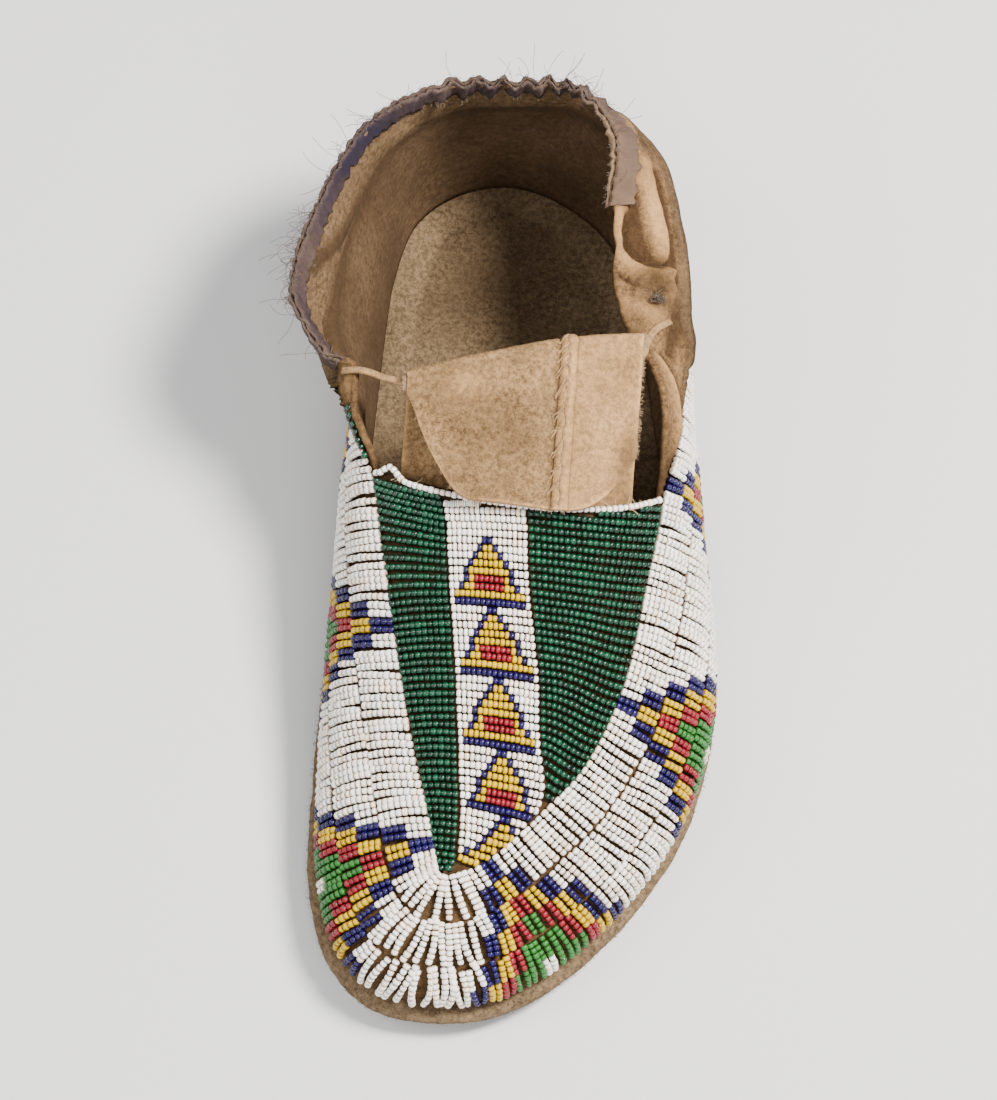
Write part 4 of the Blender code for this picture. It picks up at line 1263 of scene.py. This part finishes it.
def makeTongue():
    rows, columns = tongue["rows"], tongue["across"] + 1
    grid = np.array([[tonguePoint(j / tongue["across"], i / (rows - 1) * 10) for j in range(columns)]
                     for i in range(rows)])
    normals = -unit(np.cross(np.gradient(grid, axis=1), np.gradient(grid, axis=0)))
    s = np.linspace(0, 1, columns)[None, :] + np.zeros((rows, 1))
    r = np.linspace(0, 10, rows)[:, None] + np.zeros((1, columns))
    flat = grid.reshape(-1, 3)
    relief = np.array([ripple(p, 0.018, 11.0) * 0.0005 + ripple(p, 0.0014, 12.0) * 0.00010 for p in flat])
    relief = relief.reshape(s.shape)
    past = s - tongue["seam"]
    ridge = ease(-0.006, 0.004, past) * (1 - ease(0.040, 0.056, past))
    relief += tongue["lap"] * ridge - tongue["groove"] * np.exp(-((past + 0.012) / 0.007) ** 2)
    relief += tongue["hem"] * np.exp(-((s - 0.035) / 0.02) ** 2) * ease(5, 7, r)
    relief += tongue["foldRidge"] * np.exp(-((r - 5.9) / 0.16) ** 2)
    points = (grid + normals * relief[..., None]).reshape(-1, 3)
    piece = meshPiece("hideTongue", points, sheetFaces(rows, columns), hideTongue)
    edge = np.minimum(np.minimum(s, 1 - s) * 0.058, (10 - r) * 0.012)
    cloud = np.array([ripple(p, 0.011, 23.0) for p in flat]).reshape(s.shape)
    # darker towards its foot; painted shadow in the groove beside the seam and a painted shade line at the
    # lap's far edge; cloudy stains; a placed painted shadow low in the middle; darker at the flap's lateral
    # corner
    soilAndShade = 0.3 * ease(3.2, 0.5, r) + 1.0 * np.exp(-((past + 0.015) / 0.011) ** 2)
    soilAndShade += 0.40 * np.exp(-((past - 0.058) / 0.006) ** 2)
    soilAndShade += 0.25 * ease(0.0, 0.6, cloud) * (1 - ease(-0.03, 0.02, past))
    soilAndShade += 0.40 * np.exp(-((s - 0.36) / 0.20) ** 2 - ((r - 8.5) / 0.9) ** 2)
    soilAndShade += 0.7 * ease(0.86, 0.97, s) * ease(8.6, 9.6, r)
    paint(piece, "soilAndShade", np.clip(soilAndShade, 0, 1).ravel())
    # paler with wear along the cut edges; the piece right of the seam lighter as painted light; a painted
    # highlight on the lap's ridge; a pale patch above the placed shadow
    wearAndHighlight = 0.75 * np.exp(-(edge / 0.0008) ** 2) + 0.34 * ease(-0.02, 0.05, past) + 0.25 * ridge
    wearAndHighlight = wearAndHighlight + 0.45 * np.exp(-((s - 0.25) / 0.10) ** 2 - ((r - 7.2) / 0.6) ** 2)
    paint(piece, "wearAndHighlight", np.clip(wearAndHighlight, 0, 1).ravel())
    wall = piece.modifiers.new("wall", "SOLIDIFY")
    wall.thickness = tongue["wall"]
    wall.offset = 0
    settle(piece)
    surface = surfaceOf(piece)
    dress(piece, "smoked_hide", "tongue")
    return grid, normals, surface


tongueGrid, tongueNormals, tongueSurface = makeTongue()


def tongueSpot(across, row):
    i = min(int(row / 10 * (tongue["rows"] - 1)), tongue["rows"] - 2)
    j = min(int(across * tongue["across"]), tongue["across"] - 1)
    return tongueGrid[i, j], tongueNormals[i, j]


# overcast stitches down the tongue's seam, a raised cord beside them, hairs on its cut edges, loose threads
stitching = {
    "count": 10,
    "first": 5.75,
    "last": 9.75,
    "begin": (-0.030, -0.016),
    "reach": 0.0418,
    "slant": (0.20, 0.34),
    "strandGap": 0.06,
    "arch": 0.00035,
    "thread": 0.00052,
    "cord": 0.0007,
    "hairs": 1100,
    "hair": 0.00012,
    "hairLength": (0.0005, 0.0015),
    "loose": 16,
    "looseThread": 0.00022,
    "looseLength": (0.002, 0.0055),
}


def makeStitches():
    dice = random.Random(61)
    runs = []
    pitch = (stitching["last"] - stitching["first"]) / stitching["count"]
    for i in range(stitching["count"]):
        row = stitching["first"] + pitch * (i + 0.5 + dice.uniform(-0.22, 0.22))
        for strand in range(2):
            points, normals = [], []
            slant = dice.uniform(*stitching["slant"])
            begin = dice.uniform(*stitching["begin"])
            for step in range(7):
                t = step / 6
                p, n = tongueSpot(tongue["seam"] + begin + stitching["reach"] * t,
                                  row + slant * (0.5 - t) + strand * stitching["strandGap"])
                points.append(p)
                normals.append(n)
            laid = layOn(tongueSurface, points, normals, 0.00012, 0.004)
            arch = [n * stitching["arch"] * math.sin(math.pi * t / 6) for t, n in enumerate(normals)]
            runs.append([p + a for p, a in zip(laid, arch)])
    threadPiece("tongueStitches", runs, stitching["thread"], strapHide, "smoked_hide", 6)

    # the join's own raised thread, from the fold to the flap's end
    line, normals = zip(*[tongueSpot(tongue["seam"] + 0.026 + 0.004 * math.sin(i * 0.9), 5.6 + i * 0.07)
                          for i in range(62)])
    cord = layOn(tongueSurface, line, normals, 0.0, 0.004)
    threadPiece("tongueSeamCord", [cord], stitching["cord"], strapHide, "smoked_hide", 6)


def makeTongueHairs():
    dice = random.Random(62)
    runs = []
    for _ in range(stitching["hairs"]):
        place = dice.random()
        if place < 0.30:
            across, row = 0.003, dice.uniform(3.0, 10)
        elif place < 0.60:
            across, row = 0.997, dice.uniform(3.0, 10)
        else:
            across, row = dice.random(), dice.choice((9.97, 5.95, 6.0))
        p, n = tongueSpot(across, row)
        if 5.9 < row < 6.1:
            side = np.array((0, 0.7, 0.7))
        elif across in (0.003, 0.997):
            side = np.array((1.0 if across > 0.5 else -1.0, 0, 0))
        else:
            side = np.array((0, -1.0, 0))
        way = side + n * dice.uniform(-0.4, 0.6)
        runs.append(looseRun(p + side * 0.0002, way, dice.uniform(*stitching["hairLength"]), dice, 0.4, 3))
    threadPiece("tongueHairs", runs, stitching["hair"], sinew, "smoked_hide", 3)


def makeLooseThreads():
    # broken ends of the edging's thread at both corners of the throat
    dice = random.Random(63)
    runs = []
    for i in range(stitching["loose"]):
        t = dice.uniform(0.06, 0.30) if i % 2 else dice.uniform(0.72, 0.95)
        p, up = onVamp(throat - 0.03, t)
        way = np.array((dice.uniform(-0.9, 0.9), dice.uniform(-0.2, 1.0), 0.25))
        runs.append(looseRun(p + up * 0.0014, way, dice.uniform(*stitching["looseLength"]), dice, 0.5, 8))
    threadPiece("throatThreads", runs, stitching["looseThread"], sinew, "smoked_hide", 4)


makeStitches()
makeTongueHairs()
makeLooseThreads()

# the thong that bars the instep inside the tongue's fold, tied down through a slit in the outer wing
thong = {
    # shares of the length from the toe, of the ball's width and of the collar's height
    "line": ((0.634, -0.285, 0.866), (0.6260, -0.240, 0.886), (0.6200, -0.150, 0.912),
             (0.6310, 0.000, 0.956), (0.645, 0.150, 0.965), (0.6535, 0.290, 0.9385),
             (0.6640, 0.372, 0.920), (0.674, 0.402, 0.912)),
    # over each wing to its slit: station, millimetres below the edge
    "medial": ((18.05, 0.3), (18.03, 1.0), (18.00, 2.0)),
    "lateral": ((8.50, 0.4), (8.64, 3.4), (8.78, 6.3), (8.90, 9.3)),
    "width": 0.0021,
    "thickness": 0.0012,
    "hop": 0.0012,
    "twist": 0.25,
    "sides": 12,
}


def strapOver(stops, steps=6):
    # along the wing's outer face through these stops
    points, normals = [], []
    for (u0, b0), (u1, b1) in zip(stops, stops[1:]):
        for i in range(steps):
            u, below = u0 + (u1 - u0) * i / steps, b0 + (b1 - b0) * i / steps
            p, n = wing(u, float(ringValue(wallReach, u)) - below / 1000)
            points.append(p)
            normals.append(n)
    return layOn(upperSurface, points, normals, thong["thickness"] * 0.5 + 0.0001)


def makeThong():
    middle = []
    for i in range(71):
        a, out, up = splineRow(thong["line"], i / 10, False)
        middle.append(np.array((out * shoe["ballWidth"], (a - 0.5) * shoe["length"],
                                up * shoe["collarHeight"])) + shift)
    medial, lateral = strapOver(thong["medial"])[::-1], strapOver(thong["lateral"])

    def bridge(a, b):
        # up over the collar's edge from one to the other
        return [a + (b - a) * s / 5 + np.array((0, 0, thong["hop"] * math.sin(math.pi * s / 5)))
                for s in range(1, 5)]

    points = np.array(medial + bridge(medial[-1], middle[0]) + middle
                      + bridge(middle[-1], lateral[0]) + lateral)
    for _ in range(3):
        points[1:-1] = points[1:-1] * 0.5 + (points[2:] + points[:-2]) * 0.25
    loops = []
    for i, p in enumerate(points):
        run = unit(points[min(i + 1, len(points) - 1)] - points[max(i - 1, 0)])
        flat = unit(np.cross(run, (0, 0, 1.0)))
        face = unit(np.cross(flat, run))
        turn = thong["twist"] * math.sin(i * 0.11)
        w = flat * math.cos(turn) + face * math.sin(turn)
        h = face * math.cos(turn) - flat * math.sin(turn)
        half = thong["width"] / 2 * (0.86 + 0.12 * ripple(p, 0.006, 13.0))
        for k in range(thong["sides"]):
            angle = 2 * math.pi * k / thong["sides"]
            c, s = math.cos(angle), math.sin(angle)
            # a flat strap with softened edges
            loops.append(p + w * half * math.copysign(abs(c) ** 0.45, c)
                         + h * thong["thickness"] / 2 * 0.9 * math.copysign(abs(s) ** 0.7, s))
    piece = meshPiece("thong", loops, tubeFaces(len(points), thong["sides"]), strapHide)
    paint(piece, "soilAndShade", [0.1] * len(loops))
    paint(piece, "wearAndHighlight", [0.2] * len(loops))
    dress(piece, "smoked_hide", "tie_thong")


makeThong()

# the cloth strip folded over the collar's edge, waved where its thread is drawn up
binding = {
    "start": 10.2,
    "end": 17.9,
    "depth": 0.0042,
    "cloth": 0.0007,
    "stations": 560,
    "pucker": 2.3,  # times the hide's own gathers
    "sway": 0.00030,
    "ragged": (0.0007, 0.0003),
    "matting": (0.00038, 0.00026),
    "pleats": 0.00022,
    "droop": 0.0012,
    "clothSpan": 0.29,  # the strip's length in the weave's own measure
    # station, half width and strength of what is left of the blue
    "blue": (15.3, 0.7, 1.0),
    "blueInFront": (10.9, 0.5, 0.45),
}


def blueLeft(u, station, width, strength):
    return strength * math.exp(-((u - station) / width) ** 2)


def makeBinding():
    # two leaves of the strip, their tips standing either side of a groove along the top
    edge, depth = shoe["hideWall"] / 2 * 0.55, binding["depth"]
    face = edge + binding["cloth"]
    outerFace = [(face + 0.0004, -depth), (face + 0.0003, -depth * 0.7), (face + 0.0001, -depth * 0.35),
                 (face, 0.0), (face - 0.0001, 0.0007), (edge * 0.8, 0.0013), (edge * 0.45, 0.0010)]
    innerFace = [(-out, rise) for out, rise in outerFace[::-1]]
    lining = [(-edge, -depth), (-edge, -depth * 0.5), (-edge * 0.9, -0.0003), (edge * 0.9, -0.0003),
              (edge, -depth * 0.5), (edge, -depth)]
    section = outerFace + [(0.0, 0.0003)] + innerFace + lining
    n, count = binding["stations"], len(section)
    points, faded, wearAndHighlight, soilAndShade = [], [], [], []
    for i in range(n + 1):
        u = binding["start"] + (binding["end"] - binding["start"]) * i / n
        reach = float(ringValue(wallReach, u))
        top, _ = wing(u, reach)
        low, _ = wing(u, reach - depth)
        _, side = onWall(u, reach - depth / 2)
        upward = unit(top - low)
        middle = top - side * shoe["hideWall"] / 2
        wave = float(gatherWave(u))
        front = float(ease(11.6, 10.9, u))
        spread = 1 + 0.7 * front + 0.35 * noise.noise(Vector((u * 2.1, 0, 3.0)))
        ragged = binding["ragged"][0] * noise.noise(Vector((u * 9.0, 4.0, 0)))
        ragged += binding["ragged"][1] * noise.noise(Vector((u * 31.0, 7.0, 0)))
        for k, (out, rise) in enumerate(section):
            leaf = 1 if out > 0 else -1
            atHem = abs(rise + depth) < 1e-6
            pucker = wave * hideShape["gather"] * binding["pucker"]
            p = middle + side * (out * spread + pucker) + upward * (rise + ragged)
            p = p + upward * wave * binding["sway"]
            fine = ripple(p, 0.0026, 15.0) * binding["matting"][0]
            fine += ripple(p, 0.0010, 16.0) * binding["matting"][1]
            pleat = u * 46 + 6 * noise.noise(Vector((u * 1.3, 9.0, 0))) + rise * 900
            fine += binding["pleats"] * math.sin(pleat)
            droop = 0.0
            if atHem:
                droop = binding["droop"] * (1 + float(ease(11.6, 10.6, u)))
                droop *= ripple((p[0], p[1], leaf * 0.003), 0.0035, 17.0)
            points.append(p + side * fine * leaf + upward * droop)
            blue = blueLeft(u, *binding["blue"])
            if out > 0:
                blue += blueLeft(u, *binding["blueInFront"])
            faded.append(0.62 - 0.85 * min(blue, 1) + 0.3 * ripple(p, 0.012, 18.0) + 0.25 * front)
            wornAndLit = 0.45 * math.exp(-((rise - 0.0013) / 0.0004) ** 2) + (0.35 if atHem else 0.0)
            # the front end is faded to tan, most of all inside
            tan = (0.85 if out < edge * 0.6 else 0.40) * float(ease(12.1, 11.2, u))
            wearAndHighlight.append(wornAndLit + tan)
            dusty = 0.55 * (0.5 + 0.5 * ripple(p, 0.004, 20.0)) * (1 - tan)
            # painted shade in the groove between the leaves; dust elsewhere
            soilAndShade.append(0.9 if abs(out) < 1e-6 else dusty)
    piece = meshPiece("collarBinding", points, tubeFaces(n + 1, count), bindingCloth)
    layer = piece.data.uv_layers.new(name="UVMap")
    along = np.repeat(np.arange(n + 1), count) * binding["clothSpan"] / n
    around = np.tile(lengthAlong(np.array(section)), n + 1)
    for loop in piece.data.loops:
        layer.data[loop.index].uv = (along[loop.vertex_index], around[loop.vertex_index])
    paint(piece, "faded", faded)
    paint(piece, "wearAndHighlight", wearAndHighlight)
    paint(piece, "soilAndShade", soilAndShade)
    dress(piece, "binding_cloth", "collar_binding")
    return np.array(points).reshape(n + 1, count, 3)


bindingGrid = makeBinding()

# the strip's worn edges: short fluff all along, long ends and loops where it is most frayed
frays = {
    "fluff": 900,
    "ends": 90,
    "loops": 24,
    "thread": 0.00014,
    "remnant": 40,
    # stations and how far round them
    "endsAt": ((16.6, 0.7), (15.2, 0.5), (12.4, 0.35), (11.5, 0.4)),
    "loopsAt": (16.5, 0.6),
    "remnantAt": (9.15, 0.035),
    "remnantBelow": (0.0080, 0.0007),
    "fluffLength": (0.0004, 0.0015),
    "endLength": (0.003, 0.011),
    "loopSpan": (0.06, 0.35),
    "loopReach": (0.0012, 0.0045),
    "remnantLength": (0.0012, 0.0030),
}


def makeFrays():
    dice = random.Random(71)
    n = len(bindingGrid) - 1
    runs = []

    def spot(u, k):
        i = int(min(max((u - binding["start"]) / (binding["end"] - binding["start"]), 0), 1) * n)
        return bindingGrid[i, k], unit(bindingGrid[i, 0] - bindingGrid[i, 14])

    for _ in range(frays["fluff"]):
        k = dice.choice((0, 5, 5, 9, 9, 14))
        p, side = spot(dice.uniform(binding["start"], binding["end"]), k)
        way = side * (1 if k < 7 else -1) + np.array((0, 0, 0.8 if k in (5, 9) else -0.3))
        runs.append(looseRun(p, way, dice.uniform(*frays["fluffLength"]), dice, 0.7, 4))
    for _ in range(frays["ends"]):
        u = dice.choice([dice.gauss(*place) for place in frays["endsAt"]]
                        + [dice.uniform(binding["start"], binding["end"])])
        p, side = spot(u, dice.choice((3, 5, 9)))
        along = unit(spot(u + 0.1, 5)[0] - spot(u - 0.1, 5)[0])
        way = side * dice.uniform(0.2, 1.0) + along * dice.uniform(-1, 1)
        way = way + np.array((0, 0, dice.uniform(-0.1, 0.5)))
        runs.append(looseRun(p, way, dice.uniform(*frays["endLength"]), dice, 0.28, 9))
    for _ in range(frays["loops"]):
        u = dice.gauss(*frays["loopsAt"])
        a, side = spot(u, 5)
        b, _ = spot(u + dice.uniform(*frays["loopSpan"]), 5)
        out = dice.uniform(*frays["loopReach"])
        bulge = side * out + np.array((0, 0, 0.001))
        runs.append([a + (b - a) * t + bulge * math.sin(math.pi * t) for t in np.linspace(0, 1, 10)])
    for _ in range(frays["remnant"]):
        # the torn scrap of the strip left in the outer wing's fold
        u, below = dice.gauss(*frays["remnantAt"]), dice.gauss(*frays["remnantBelow"])
        p, up = wing(u, float(ringValue(wallReach, u)) - below)
        way = up + np.array([dice.uniform(-0.8, 0.8) for _ in range(3)])
        runs.append(looseRun(p, way, dice.uniform(*frays["remnantLength"]), dice, 0.7, 5))
    threadPiece("bindingFrays", runs, frays["thread"], fray, "binding_cloth", 3)


makeFrays()

# floor, light and camera
view = {
    "place": (-0.00453, -0.6052, 1.3725),  # where the photograph was taken from, in the shoe's frame
    "up": (-0.0716, 0.909, 0.410),
    "aim": (0.0, -0.002, 0.030),
    "lens": 189.0,
    "sensor": 36.0,
    "floor": 3.0,
    "glow": 0.50,
}
floorMesh = bpy.data.meshes.new("floor")
half = view["floor"]
corners = [(-half, -half, 0), (half, -half, 0), (half, half, 0), (-half, half, 0)]
floorMesh.from_pydata(corners, [], [(0, 1, 2, 3)])
floor = bpy.data.objects.new("floor", floorMesh)
bpy.context.scene.collection.objects.link(floor)
floorMesh.materials.append(floorPaint)


# round soft lights, all turned to the shoe: name, place, size, power and tint
lightTarget = Vector((0, 0, 0.02))
lights = (
    ("keyLight", (0.60, 0.10, 1.10), 0.36, 50.0, (1.0, 0.975, 0.94)),
    ("fillLight", (-0.85, -0.15, 0.90), 0.8, 10.5, (0.98, 0.99, 1.0)),
    ("frontLight", (0.10, -0.95, 0.80), 0.7, 11.0, (1.0, 1.0, 1.0)),
)
for name, place, size, power, tint in lights:
    data = bpy.data.lights.new(name, "AREA")
    data.shape, data.size, data.energy, data.color = "DISK", size, power, tint
    lamp = bpy.data.objects.new(name, data)
    bpy.context.scene.collection.objects.link(lamp)
    lamp.location = place
    lamp.rotation_euler = (lightTarget - Vector(place)).to_track_quat("-Z", "Y").to_euler()

world = bpy.data.worlds.new("studio")
world.use_nodes = True
sky = world.node_tree.nodes["Background"].inputs
sky["Color"].default_value = rgb(0.92, 0.94, 1.0)
sky["Strength"].default_value = view["glow"]
bpy.context.scene.world = world

place = Vector(view["place"]) + Vector(shift)
ahead = (Vector(view["aim"]) - place).normalized()
right = ahead.cross(Vector(view["up"])).normalized()
upward = right.cross(ahead)
cameraData = bpy.data.cameras.new("camera")
cameraData.lens = view["lens"]
cameraData.sensor_width = view["sensor"]
cameraData.sensor_fit = "AUTO"
cameraData.clip_start, cameraData.clip_end = 0.1, 20.0
camera = bpy.data.objects.new("camera", cameraData)
bpy.context.scene.collection.objects.link(camera)
camera.matrix_world = Matrix((
    (right.x, upward.x, -ahead.x, place.x), (right.y, upward.y, -ahead.y, place.y),
    (right.z, upward.z, -ahead.z, place.z), (0, 0, 0, 1)))
bpy.context.scene.camera = camera
print("stage ready")

bpy.context.view_layer.update()
